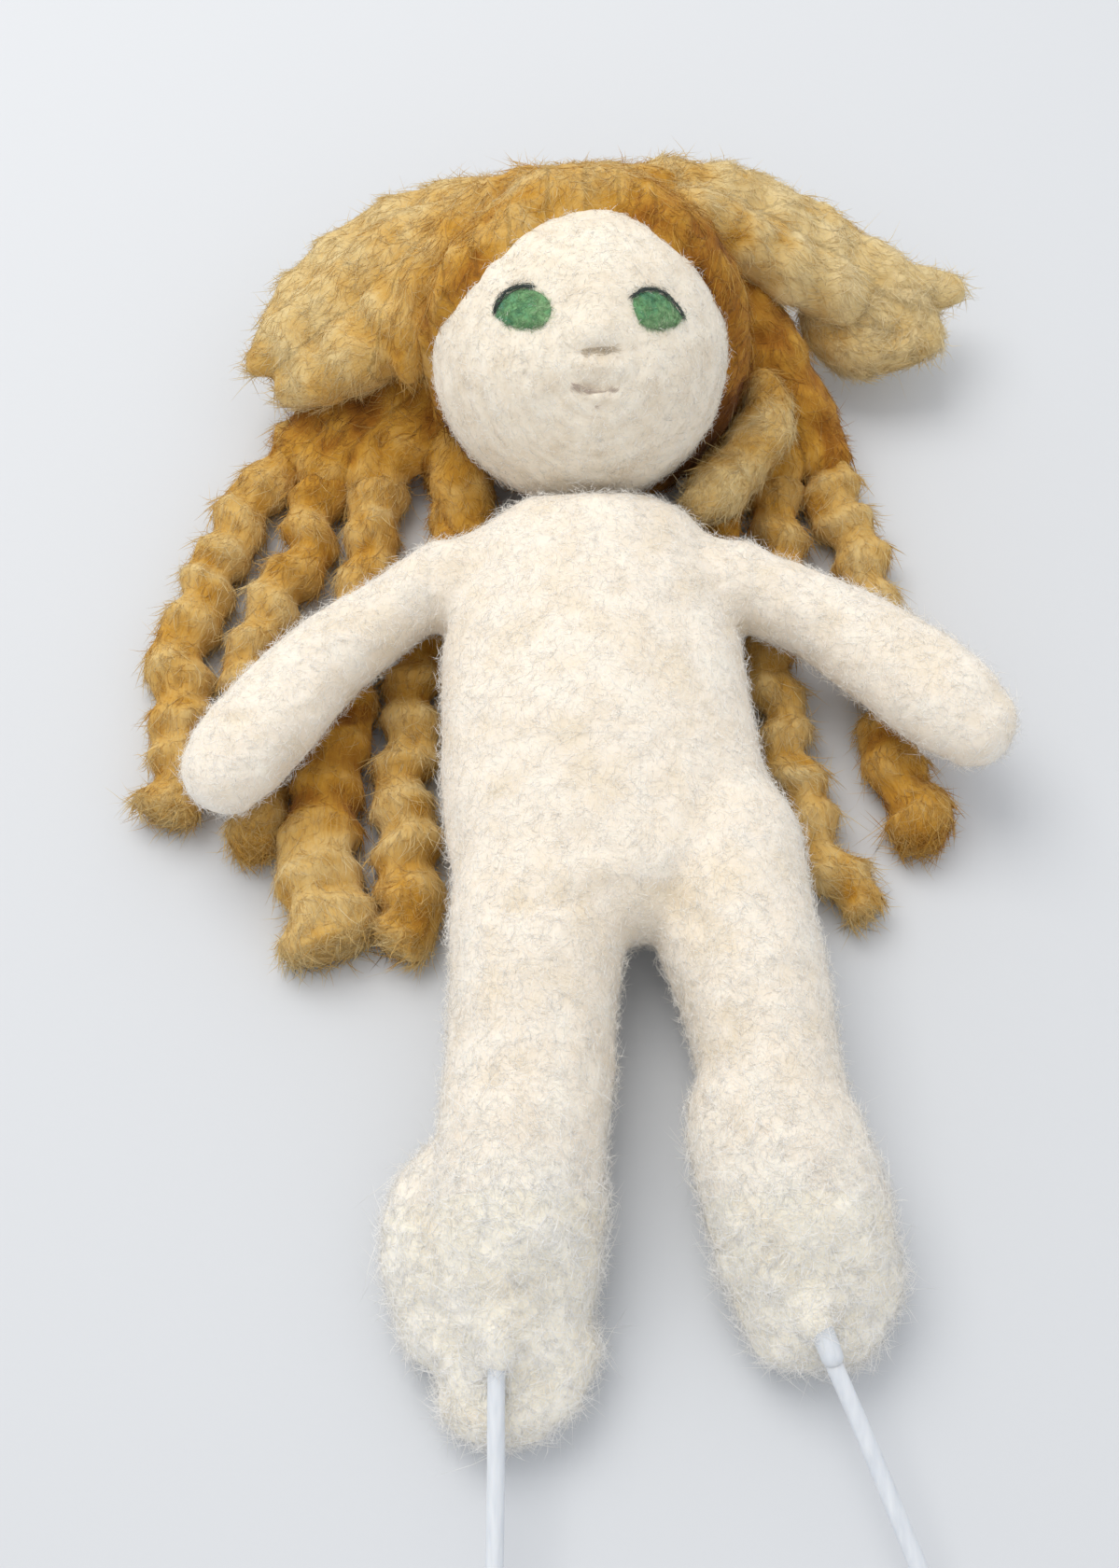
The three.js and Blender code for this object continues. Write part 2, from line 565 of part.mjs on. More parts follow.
function face() {
  const pieces = [];
  const cuts = [];
  for (const [name, eye] of Object.entries(EYES)) {
    const gap = TOUCH_GAP;
    const lash = (grow) => arcShape(EYE_HALF_WIDTH + gap, EYE_HALF_HEIGHT + gap, LASH_THICKNESS, eye.from, eye.to, grow);
    pieces.push([`${name}_eye`, inlaid(eyeShape(0), eye.x, eye.y, 0), "eye"]);
    pieces.push([`${name}_lash`, inlaid(lash(0), eye.x, eye.y, 0), "lash"]);
    cuts.push(inlaid(eyeShape(gap), eye.x, eye.y, gap), inlaid(lash(gap), eye.x, eye.y, gap));
  }
  const smile = (grow) => arcShape(MOUTH_HALF_WIDTH, MOUTH_HALF_WIDTH * 0.42, MOUTH_THICKNESS, 200, 340, grow);
  pieces.push(["mouth", inlaid(smile(0), MOUTH_PLACE.x, MOUTH_PLACE.y, 0), "mouth"]);
  cuts.push(inlaid(smile(TOUCH_GAP), MOUTH_PLACE.x, MOUTH_PLACE.y, TOUCH_GAP));
  const bump = (grow) =>
    solid(
      new THREE.SphereGeometry(1, 14, 10)
        .rotateX(rad(90))
        .scale(NOSE_HALF_WIDTH + grow, NOSE_HALF_WIDTH * 0.75 + grow, NOSE_HALF_WIDTH * 0.6 + grow)
        .applyMatrix4(onFace(NOSE_PLACE.x, NOSE_PLACE.y, 0.2)),
    );
  pieces.push(["nose", bump(0), "wool"]);
  cuts.push(bump(TOUCH_GAP));
  return { pieces, cuts };
}

// The wire's fold in the head: up one side, round, and down the other.
function headLoopRoute() {
  const low = neckWireY + TOUCH_GAP + 1;
  const turn = low + HEAD_LOOP_DEPTH;
  const route = [];
  const place = (x, y) => route.push(vec(HEAD_SHIFT + x, y, neckPivot.z));
  place(-wireHalfPitch, low);
  place(-wireHalfPitch, low + HEAD_LOOP_DEPTH * 0.5);
  for (let a = 180; a >= 0; a -= 45) place(2 * Math.cos(rad(a)), turn + 2 * Math.sin(rad(a)));
  place(wireHalfPitch, low + HEAD_LOOP_DEPTH * 0.5);
  place(wireHalfPitch, low);
  return route;
}

function head() {
  const { pieces, cuts } = face();
  let body = ball(HEAD_RADIUS);
  for (const cut of cuts) body = body.subtract(cut);
  const route = headLoopRoute();
  body = body.subtract(boreForm(route, 4, 4));
  add("head", body, "wool");
  for (const [name, piece, kind] of pieces) add(name, piece, kind);
  add("head_wire_loop", solid(wireForm(route)), "wire");
}

// Hair
const floorZ = LOCK_HALF_DEPTH + LOCK_FLOOR_GAP;
const CAP_FRONT = 1.5; // how far the cap reaches past the ball's middle towards the face
const napeY = neckPivot.y + 4.5;

function hairCap() {
  const faceWay = Z.clone().applyMatrix4(faceTurn);
  const front = headCentre.clone().addScaledVector(faceWay, CAP_FRONT);
  return ball(capRadius)
    .subtract(ball(HEAD_RADIUS + TOUCH_GAP))
    .subtract(beyond(front, faceWay))
    .subtract(beyond(vec(0, napeY, 0), vec(0, -1, 0)))
    .subtract(beyond(vec(0, 0, LOCK_FLOOR_GAP), vec(0, 0, -1)));
}

const hairStation = ([x, y, z, wide, deep]) => station(vec(x, y, z), wide, deep);

// Open tufts and the mass behind the cheeks: x, y, z, half width, half depth, from the head outwards.
const TUFTS = {
  right_tuft: [
    [-12, 81, 21, 8, 5],
    [-23, 79, 18.5, 12, 5.5],
    [-35, 73.5, 16, 12.5, 5],
    [-44, 67.5, 14, 7.5, 4],
  ],
  left_tuft: [
    [12, 82, 22, 7, 5],
    [24, 84, 19, 8, 5],
    [37, 82.5, 16.5, 6.5, 4.5],
    [49, 79.5, 14, 3, 3],
  ],
  left_tuft_curl: [
    [31, 73, 11, 5, 4],
    [37, 69, 10, 6.5, 4.5],
    [43, 67, 10, 5, 4],
  ],
};
const BACK_HAIR = {
  right_back_hair: [
    [-20, 65, 6.5, 11, 5],
    [-28, 60, 5.6, 12, 4.6],
    [-34, 55, 5, 9, 4],
  ],
  left_back_hair: [
    [19, 68, 6.5, 9, 5],
    [26, 63, 5.4, 8, 4.6],
    [31, 57, 5, 5.5, 4],
  ],
};
// Long crimped locks: their routes over the surface that the doll lies on, from the back hair down past the arms.
const LOCKS = {
  right_lock_1: [[-40, 60], [-45, 52.2], [-50, 42.4], [-54.1, 29.8], [-56.5, 20.7], [-55.7, 11.9], [-54, 4.7], [-56.2, -2.2]],
  right_lock_2: [[-34, 60], [-38.1, 54], [-38.9, 45.6], [-40, 37.6], [-43.5, 29.8], [-46.2, 23.7], [-45.6, 9], [-43.8, -3.6], [-43.2, -8]],
  right_lock_3: [[-27, 60], [-29.9, 54], [-30.6, 42.4], [-30.9, 34.4], [-31.7, 23.7], [-33.1, 13.3], [-34.9, 1.9], [-35.6, -7.6], [-34.4, -15], [-31.5, -19.5]],
  right_lock_4: [[-19, 56], [-19.5, 49], [-18.6, 42], [-20, 32.9], [-23.2, 20.7], [-24.1, 10.4], [-24.9, -0.8], [-23.6, -11.6], [-24, -18.5]],
  left_lock_1: [[31, 60], [34.2, 52.2], [36.4, 44], [38.8, 36], [40.8, 20.7], [40.8, 3], [43.4, -3.6], [43.4, -7]],
  left_lock_2: [[23, 57], [26.9, 49.5], [27.4, 40.8], [25.9, 29.8], [25, 19.2], [26.1, 9], [28, -0.8], [31.1, -10.3], [35, -16.3]],
};
const CHEEK_LOCK = [
  [24.5, 66, 12.5, 3.6, 3.6],
  [24.3, 57, 13, 4.2, 3.9],
  [20.5, 47.5, 13.5, 4.2, 3.8],
  [16.2, 42.2, 14, 3.4, 3.2],
];

function hair() {
  const cap = hairCap();
  add("hair_cap", cap, "hair");
  const capRoom = ball(capRadius + TOUCH_GAP);
  const headRoom = ball(HEAD_RADIUS + TOUCH_GAP);
  const grown = (stations, rings, sides) => solid(softForm(stations, { sides, rings, grow: TOUCH_GAP }));

  let taken = capRoom;
  for (const [name, rows] of Object.entries(BACK_HAIR)) {
    const stations = rows.map(hairStation);
    const form = solid(softForm(stations, { sides: 12, rings: 4 }))
      .subtract(capRoom)
      .subtract(beyond(vec(0, 0, LOCK_FLOOR_GAP), vec(0, 0, -1)));
    add(name, form, "hair");
    taken = taken.add(grown(stations, 4, 12));
  }
  for (const [name, rows] of Object.entries(TUFTS)) {
    const stations = rows.map(hairStation);
    add(name, solid(softForm(stations, { sides: 12, rings: 5 })).subtract(taken), "hair");
    taken = taken.add(grown(stations, 5, 12));
  }
  const cheek = CHEEK_LOCK.map(hairStation);
  add("left_cheek_lock", solid(softForm(cheek, { sides: 10, rings: 6 })).subtract(taken).subtract(headRoom), "hair");
  taken = taken.add(grown(cheek, 6, 10));

  const splitGap = vec(0, TOUCH_GAP / 2, 0);
  for (const [name, route] of Object.entries(LOCKS)) {
    const stations = route.map(([x, y]) => station(vec(x, y, floorZ), LOCK_HALF_WIDTH, LOCK_HALF_DEPTH));
    const rings = Math.round(route.length * 1.3);
    const whole = solid(softForm(stations, { sides: LOCK_SIDES, rings }));
    const split = vec(0, neckPivot.y, 0);
    const upper = whole.subtract(beyond(split.clone().add(splitGap), vec(0, -1, 0))).subtract(taken);
    const lower = whole.subtract(beyond(split.clone().sub(splitGap), vec(0, 1, 0)));
    add(`${name}_upper`, upper, "hair");
    add(`${name}_lower`, lower, "hair");
    taken = taken.add(grown(stations, rings, LOCK_SIDES));
  }
}

add("torso", torso(), "wool");
add("right_torso_wire", solid(wireForm(torsoRoute(right))), "wire");
add("left_torso_wire", solid(wireForm(torsoRoute(left))), "wire");
add("shoulder_wire", solid(wireForm(shoulderRoute)), "wire");
head();
for (const [name, side] of Object.entries(SIDES)) {
  arm(side, name);
  leg(side, name);
}
hair();

export default root;
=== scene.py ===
"""A needle-felted wool doll with golden wool hair, on its wire armature, dressed around its CAD frame."""

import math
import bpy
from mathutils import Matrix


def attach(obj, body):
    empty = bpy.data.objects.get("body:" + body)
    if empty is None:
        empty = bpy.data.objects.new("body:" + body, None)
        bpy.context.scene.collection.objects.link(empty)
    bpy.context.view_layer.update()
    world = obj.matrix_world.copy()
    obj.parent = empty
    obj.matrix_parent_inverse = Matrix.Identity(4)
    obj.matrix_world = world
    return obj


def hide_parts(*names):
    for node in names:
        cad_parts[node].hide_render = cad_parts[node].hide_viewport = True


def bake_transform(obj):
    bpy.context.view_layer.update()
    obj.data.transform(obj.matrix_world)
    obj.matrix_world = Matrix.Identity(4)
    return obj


bl_info = {
    "name": "Needle-felted doll",
    "version": (1, 0, 0),
    "blender": (4, 5, 0),
    "location": "3D View > Sidebar > Felt doll",
    "description": "Builds the felt, hair, face and wires of a needle-felted wool doll around its CAD frame",
    "category": "Object",
}

import bmesh
import bpy
import numpy as np
from bpy.props import FloatProperty, FloatVectorProperty, IntProperty
from mathutils import Matrix

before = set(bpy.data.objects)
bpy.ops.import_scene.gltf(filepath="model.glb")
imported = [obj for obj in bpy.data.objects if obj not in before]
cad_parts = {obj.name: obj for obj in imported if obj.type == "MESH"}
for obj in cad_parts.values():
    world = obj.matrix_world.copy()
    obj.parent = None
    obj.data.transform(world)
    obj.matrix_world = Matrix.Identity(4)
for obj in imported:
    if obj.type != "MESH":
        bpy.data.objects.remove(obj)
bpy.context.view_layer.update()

MM = 0.001
SETTINGS = "felt_doll"


# Colours


def linear(colour):
    """An sRGB hex colour as linear red, green, blue and alpha."""
    value = np.array([int(colour[i : i + 2], 16) for i in (1, 3, 5)]) / 255
    straight = np.where(value <= 0.04045, value / 12.92, ((value + 0.055) / 1.055) ** 2.4)
    return (*straight.tolist(), 1.0)


# Arrays: noise, lines and surfaces


def lattice(cell, seed):
    """Three numbers from -1 to 1 for each whole-numbered lattice point, from its mixed bits."""
    x, y, z = (cell[:, k].astype(np.uint64) for k in range(3))
    mixed = x * np.uint64(374761393) + y * np.uint64(668265263) + z * np.uint64(2246822519)
    mixed = (mixed + np.uint64(seed * 40503 + 17)) & np.uint64(0xFFFFFFFF)
    mixed = ((mixed ^ (mixed >> np.uint64(15))) * np.uint64(2246822519)) & np.uint64(0xFFFFFFFF)
    mixed = ((mixed ^ (mixed >> np.uint64(13))) * np.uint64(3266489917)) & np.uint64(0xFFFFFFFF)
    mixed = mixed ^ (mixed >> np.uint64(16))
    parts = [(mixed >> np.uint64(shift)) & np.uint64(1023) for shift in (0, 10, 20)]
    return np.stack(parts, axis=1).astype(float) / 511.5 - 1


def noise(points, size, seed):
    """Gradient noise, about -1 to 1, with features of `size`: on a lattice of that spacing each corner has
    a slope, and a point takes the eased mix of its eight corners' slopes times its distance from each."""
    scaled = np.asarray(points, float) / size + 1000.5
    cell = np.floor(scaled).astype(np.int64)
    local = scaled - cell
    ease = local**3 * (local * (local * 6 - 15) + 10)
    total = np.zeros(len(scaled))
    for step in np.array(list(np.ndindex(2, 2, 2))):
        weight = np.prod(np.where(step, ease, 1 - ease), axis=1)
        total += weight * np.sum(lattice(cell + step, seed) * (local - step), axis=1)
    return total * 1.4


def eased(value, low, high):
    """0 below low, 1 above high, and 3t² - 2t³ of the way t between them."""
    t = np.clip((value - low) / (high - low), 0, 1)
    return t * t * (3 - 2 * t)


def unit(vectors):
    """The same directions with length 1."""
    return vectors / np.maximum(np.linalg.norm(vectors, axis=-1, keepdims=True), 1e-12)


def cubics(rows, steps):
    """So many places on a cubic between each two inner rows of numbers, whose slope at a row is half the
    way from the row before to the row after."""
    t = np.linspace(0, 1, steps, endpoint=False)[None, :, None]
    a, b, c, d = (rows[k : len(rows) - 3 + k, None] for k in range(4))
    cubic = 2 * b + (c - a) * t + (2 * a - 5 * b + 4 * c - d) * t**2 + (3 * b - a - 3 * c + d) * t**3
    return cubic.reshape(-1, rows.shape[1]) / 2


def smooth_line(stations, steps):
    """Rows of numbers made a smooth line of cubics through them."""
    rows = np.asarray(stations, float)
    rows = np.vstack([2 * rows[0] - rows[1], rows, 2 * rows[-1] - rows[-2]])
    return np.vstack([cubics(rows, steps), rows[-2]])


def closed_loop(outline, steps):
    """A smooth closed outline of cubics through its corners."""
    return np.roll(cubics(np.array([*outline, *outline[:3]], float), steps), 1, axis=0)


def arc_length(line):
    """How far along a line of points each point is."""
    steps = np.linalg.norm(np.diff(line, axis=0), axis=1)
    return np.concatenate([[0], np.cumsum(steps)])


def even_line(line, pitch):
    """The same line with a row every `pitch`."""
    along = arc_length(line[:, :3])
    count = max(4, int(round(along[-1] / pitch)) + 1)
    places = np.linspace(0, along[-1], count)
    return np.stack([np.interp(places, along, line[:, k]) for k in range(line.shape[1])], axis=1)


def line_frames(line):
    """The direction of a line at each point, and two directions across it: sideways, and as far up as it
    can be."""
    way = unit(np.gradient(line[:, :3], axis=0))
    up = unit(np.array([0, 0, 1.0]) - way * way[:, 2:3])
    return way, np.cross(up, way), up


def closed_grid(rings, first, last):
    """A closed skin from rings of points and a point that closes each end. Faces point outwards."""
    count, sides = rings.shape[:2]
    points = np.vstack([rings.reshape(-1, 3), [first, last]])
    j = np.arange(sides)
    k = (j + 1) % sides
    low = (np.arange(count - 1) * sides)[:, None]
    quads = np.stack([low + j, low + k, low + sides + k, low + sides + j], axis=2).reshape(-1, 4)
    pole = count * sides
    end = pole - sides
    fans = np.vstack(
        [
            np.stack([np.full(sides, pole), k, j], axis=1),
            np.stack([np.full(sides, pole + 1), end + j, end + k], axis=1),
        ]
    )
    return points, [quads, fans]


def ball_directions(rings, sides):
    """Directions from a ball's middle: at angle theta from the neck and phi round it they are -cos(theta)
    up the doll and sin(theta) across, in rings. The last two point to the neck and to the crown."""
    theta = np.linspace(0, np.pi, rings + 2)[1:-1, None]
    phi = np.linspace(0, 2 * np.pi, sides, endpoint=False)[None]
    y = -np.cos(theta) * np.ones_like(phi)
    direction = np.stack([np.sin(theta) * np.cos(phi), y, -np.sin(theta) * np.sin(phi)], axis=2)
    return np.vstack([direction.reshape(-1, 3), [[0, -1.0, 0], [0, 1.0, 0]]])


def ball_skin(points, rings, sides):
    """A closed skin from points along a ball's directions."""
    return closed_grid(points[:-2].reshape(rings, sides, 3), points[-2], points[-1])


def loft(stations, steps=10, sides=28):
    """A closed skin along stations of x, y, z, half width and half depth."""
    return tube(smooth_line(stations, steps), sides)


def tube(line, sides):
    """A closed skin along a line's rows of x, y, z, half width and half depth. A ring's point is the line's
    place + cos(v)·half width·sideways + sin(v)·half depth·up. Past each end the rings shrink as the cosine
    and go on as the sine of an angle from 0 to 90 degrees."""
    way, side, up = line_frames(line)
    angles = np.radians([18, 36, 54, 70])
    parts = []
    for at, sign in ((0, -1), (-1, 1)):
        depth = min(line[at, 3], line[at, 4])
        rows = np.repeat(line[at][None], len(angles), axis=0)
        rows[:, :3] += sign * depth * np.sin(angles)[:, None] * way[at]
        rows[:, 3:5] *= np.cos(angles)[:, None]
        pole = line[at, :3] + sign * depth * way[at]
        parts.append((rows, np.repeat(side[at][None], 4, 0), np.repeat(up[at][None], 4, 0), pole))
    start, end = parts
    line = np.vstack([start[0][::-1], line, end[0]])
    side = np.vstack([start[1], side, end[1]])
    up = np.vstack([start[2], up, end[2]])
    v = np.linspace(0, 2 * np.pi, sides, endpoint=False)
    rings = (
        line[:, None, :3]
        + np.cos(v)[None, :, None] * (line[:, 3:4] * side)[:, None]
        + np.sin(v)[None, :, None] * (line[:, 4:5] * up)[:, None]
    )
    return closed_grid(rings, start[3], end[3])


def crimped(stations, bead, sway, swell, seed):
    """A hank's line with the crimp of wool, and its phase: each row moves sideways by sway·sin(phase / 2)
    and up by half that, and its widths are taken times 1 + swell·cos(phase), where the phase turns once in
    a bead's length."""
    line = even_line(smooth_line(stations, 12), 0.6)
    along = arc_length(line[:, :3])
    way, side, up = line_frames(line)
    drift = 0.25 * bead * noise(np.stack([along, 0 * along, 0 * along], axis=1), 2.2 * bead, seed)
    phase = 2 * np.pi * (along + drift) / bead + seed * 1.7
    line[:, :3] += sway * (np.sin(phase / 2)[:, None] * side + 0.5 * np.cos(phase / 2 + seed)[:, None] * up)
    line[:, 3:5] *= 1 + swell * np.cos(phase)[:, None]
    return line, phase


def joined(parts):
    """Several skins as one list of points and faces."""
    points, faces, base = [], [], 0
    for part_points, part_faces in parts:
        points.append(part_points)
        faces += [f + base for f in part_faces]
        base += len(part_points)
    return np.vstack(points), faces


def together(sets):
    """Several skins with a tone at each point as one."""
    return *joined([each[:2] for each in sets]), np.concatenate([each[2] for each in sets])


def triangles_of(faces):
    """Quads and triangles as triangles alone."""
    made = []
    for group in faces:
        made.append(group[:, :3])
        if group.shape[1] == 4:
            made.append(group[:, [0, 2, 3]])
    return np.vstack(made)


def point_normals(points, faces):
    """A point's normal: the mean of its faces' normals by area."""
    tri = triangles_of(faces)
    a, b, c = (points[tri[:, k]] for k in range(3))
    face = np.cross(b - a, c - a)
    total = np.zeros_like(points)
    for k in range(3):
        np.add.at(total, tri[:, k], face)
    return unit(total)


def nearest_on(points, line, chunk=4000):
    """For each point, the index of the nearest row of a line and its distance."""
    found = np.empty(len(points), int)
    gap = np.empty(len(points))
    for k in range(0, len(points), chunk):
        away = np.linalg.norm(points[k : k + chunk, None] - line[None, :, :3], axis=2)
        found[k : k + chunk] = away.argmin(axis=1)
        gap[k : k + chunk] = away.min(axis=1)
    return found, gap


def furrow(points, route, width):
    """1 on a smooth line through the route's points, and less beside it as the bell curve of that width."""
    gap = nearest_on(points, smooth_line(route, 12))[1]
    return np.exp(-((gap / width) ** 2))


def spot(points, middle, width):
    """1 at a place and less round it as the bell curve of that width."""
    return np.exp(-((np.linalg.norm(points - np.array(middle), axis=1) / width) ** 2))


# Meshes and objects


def mesh_of(name, points, faces, **attributes):
    """A mesh from points in millimetres, arrays of quads and triangles, and one number per point for each
    name."""
    mesh = bpy.data.meshes.new(name)
    corners = np.concatenate([f.ravel() for f in faces]).astype(np.int32)
    sizes = np.concatenate([np.full(len(f), f.shape[1]) for f in faces])
    starts = np.concatenate([[0], np.cumsum(sizes)[:-1]]).astype(np.int32)
    mesh.vertices.add(len(points))
    mesh.vertices.foreach_set("co", (np.asarray(points) * MM).astype(np.float32).ravel())
    mesh.loops.add(len(corners))
    mesh.loops.foreach_set("vertex_index", corners)
    mesh.polygons.add(len(sizes))
    mesh.polygons.foreach_set("loop_start", starts)
    mesh.update(calc_edges=True)
    mesh.polygons.foreach_set("use_smooth", np.ones(len(sizes), bool))
    for key, values in attributes.items():
        values = np.asarray(values, np.float32)
        if values.ndim == 2:
            mesh.attributes.new(key, "FLOAT_VECTOR", "POINT").data.foreach_set("vector", values.ravel())
        else:
            mesh.attributes.new(key, "FLOAT", "POINT").data.foreach_set("value", values)
    return mesh


def object_of(name, mesh, finish=None):
    """A mesh as an object of the scene, with its material."""
    obj = bpy.data.objects.new(name, mesh)
    bpy.context.scene.collection.objects.link(obj)
    if finish:
        mesh.materials.clear()
        mesh.materials.append(finish)
    return obj


def arrays_of(mesh):
    """A mesh's points in millimetres and its faces as arrays of quads and triangles."""
    points = np.empty(len(mesh.vertices) * 3)
    mesh.vertices.foreach_get("co", points)
    sizes = np.empty(len(mesh.polygons), np.int32)
    mesh.polygons.foreach_get("loop_total", sizes)
    corners = np.empty(len(mesh.loops), np.int32)
    mesh.loops.foreach_get("vertex_index", corners)
    starts = np.concatenate([[0], np.cumsum(sizes)[:-1]])
    faces = []
    for count in (4, 3):
        rows = starts[sizes == count]
        if len(rows):
            faces.append(corners[rows[:, None] + np.arange(count)])
    return points.reshape(-1, 3) / MM, faces


def felted_together(parts, voxel, rounds):
    """One closed skin round several that overlap: a remesh with cubes of `voxel` millimetres, then so many
    rounds in which each point goes half the way to the mean of its neighbours, which rounds the creases
    between them."""
    obj = object_of("blank", mesh_of("blank", *joined(parts)))
    remesh = obj.modifiers.new("Remesh", "REMESH")
    remesh.mode = "VOXEL"
    remesh.voxel_size = voxel * MM
    remesh.adaptivity = 0
    soften = obj.modifiers.new("Smooth", "SMOOTH")
    soften.factor = 0.5
    soften.iterations = rounds
    view = bpy.context.evaluated_depsgraph_get()
    made = bpy.data.meshes.new_from_object(obj.evaluated_get(view))
    points, faces = arrays_of(made)
    blank = obj.data
    bpy.data.objects.remove(obj)
    bpy.data.meshes.remove(blank)
    bpy.data.meshes.remove(made)
    return points, faces


# Millimetres along a crimped fibre to one turn of its helix
CRIMP_PITCH = 2.6


def fibres(
    rng, points, faces, count, length, thick, lift, flow=None, stray=1.0, curl=0.35, segments=2, share=None,
    tone=None, bury=0.25, crimp=0.0, spread=0.35,
):
    """Thin three-sided wool fibres on a skin, from seeded random places. A fibre's line at t from 0 to 1 is
    its root + length·t·(cos(lift)·way + sin(lift)·normal) + length·curl·t²·across, less a dip that grows as
    t², and with a crimp it also turns about that line as a helix of that radius. It starts `bury`
    millimetres under the skin and thins towards its tip. `share` says how likely each point of the skin is
    to carry one, and `spread` how much the tones differ. Every fibre is closed."""
    tri = triangles_of(faces)
    a, b, c = (points[tri[:, k]] for k in range(3))
    area = np.linalg.norm(np.cross(b - a, c - a), axis=1)
    if share is not None:
        area = area * share[tri].mean(axis=1)
    picked = rng.choice(len(tri), count, p=area / area.sum())
    mix = rng.random((count, 2))
    mix = np.where(mix.sum(axis=1, keepdims=True) > 1, 1 - mix, mix)
    weights = np.column_stack([1 - mix.sum(axis=1), mix])

    def at_root(values):
        return np.einsum("nk,nk...->n...", weights, values[tri[picked]])

    normal = unit(at_root(point_normals(points, faces)))
    root = at_root(points)
    loose = rng.normal(size=(count, 3))
    way = loose * stray if flow is None else at_root(flow) + loose * stray
    way = unit(way - normal * np.sum(way * normal, axis=1, keepdims=True))
    across = np.cross(normal, way)
    reach = length * np.exp(np.clip(rng.normal(size=count), -2, 1.3) * 0.35)
    rise = np.radians(lift[0] + (lift[1] - lift[0]) * rng.random(count) ** 2)
    bend = rng.normal(size=count) * curl
    dip = rng.random(count) * 0.5
    t = np.linspace(0, 1, segments + 1)
    turn = reach[:, None] * t * 2 * np.pi / CRIMP_PITCH + rng.random(count)[:, None] * 2 * np.pi
    wound = crimp * np.minimum(t * 3, 1)
    ahead = (np.cos(rise) * reach)[:, None] * t
    above = (np.sin(rise) * reach)[:, None] * (t - dip[:, None] * t**2) + wound * np.sin(turn)
    aside = (bend * reach)[:, None] * t**2 + wound * np.cos(turn)
    line = (
        root[:, None]
        - normal[:, None] * bury
        + ahead[..., None] * way[:, None]
        + above[..., None] * normal[:, None]
        + aside[..., None] * across[:, None]
    )
    made, groups = spindles(line, normal + 0.01 * loose, thick / 2 * (1 - 0.6 * t[1:-1] ** 1.5))
    shade = rng.normal(size=count) * spread
    if tone is not None:
        shade = shade + at_root(tone)
    return made, groups, np.repeat(shade, 3 * segments - 1), root


def spindles(lines, aside, radius):
    """Closed three-sided fibres along many short lines: a point at each end, and at each place between them
    a ring of that radius."""
    count, places = lines.shape[:2]
    direction = unit(lines[:, -1] - lines[:, 0])
    u = unit(np.cross(direction, aside))
    v = np.cross(direction, u)
    turn = np.radians([0, 120, 240])
    ring = np.cos(turn)[:, None] * u[:, None] + np.sin(turn)[:, None] * v[:, None]
    rings = lines[:, 1:-1, None] + ring[:, None] * radius[None, :, None, None]
    made = np.concatenate([lines[:, :1], rings.reshape(count, -1, 3), lines[:, -1:]], axis=1)
    return made.reshape(-1, 3), spindle_faces(count, places - 1)


def spindle_faces(count, segments):
    """The quads and triangles of so many fibres with so many segments each."""
    size = 3 * segments - 1
    base = np.arange(count)[:, None, None] * size
    sides = [(k, (k + 1) % 3) for k in range(3)]
    starts = [1 + 3 * ring for ring in range(segments - 2)]
    quads = [[s + k, s + m, s + 3 + m, s + 3 + k] for s in starts for k, m in sides]
    last = 1 + 3 * (segments - 2)
    ends = [[0, 1 + m, 1 + k] for k, m in sides] + [[last + k, last + m, size - 1] for k, m in sides]
    return [(np.array(g)[None] + base).reshape(-1, len(g[0])) for g in (quads, ends) if g]


def without(points, faces, keep):
    """Which points the kept faces use, and those faces with their points numbered anew. A face is kept when
    its first point is."""
    left = [f[keep[f[:, 0]]] for f in faces]
    used = np.zeros(len(points), bool)
    for f in left:
        used[f.ravel()] = True
    number = np.cumsum(used) - 1
    return used, [number[f] for f in left]


# Materials


def add_node(tree, kind, inputs=None, **settings):
    """Adds a shader node: `settings` are its properties, and `inputs` its sockets' values, or the sockets
    or nodes that are linked to them. A node stands for its first output."""
    made = tree.nodes.new(f"ShaderNode{kind}")
    for key, value in settings.items():
        setattr(made, key, value)
    for key, value in (inputs or {}).items():
        if isinstance(value, bpy.types.Node):
            value = value.outputs[0]
        if isinstance(value, bpy.types.NodeSocket):
            tree.links.new(value, made.inputs[key])
        else:
            made.inputs[key].default_value = value
    return made


def empty_material(name):
    """A new material with no nodes, and its node tree."""
    made = bpy.data.materials.new(name)
    made.use_nodes = True
    made.node_tree.nodes.clear()
    return made, made.node_tree


# Mottling's size in millimetres, and how many times longer than wide a streak and a combed streak are
CLOUD_SIZE = 2.0
STREAK_LENGTH = 5
COMBED_LENGTH = 14


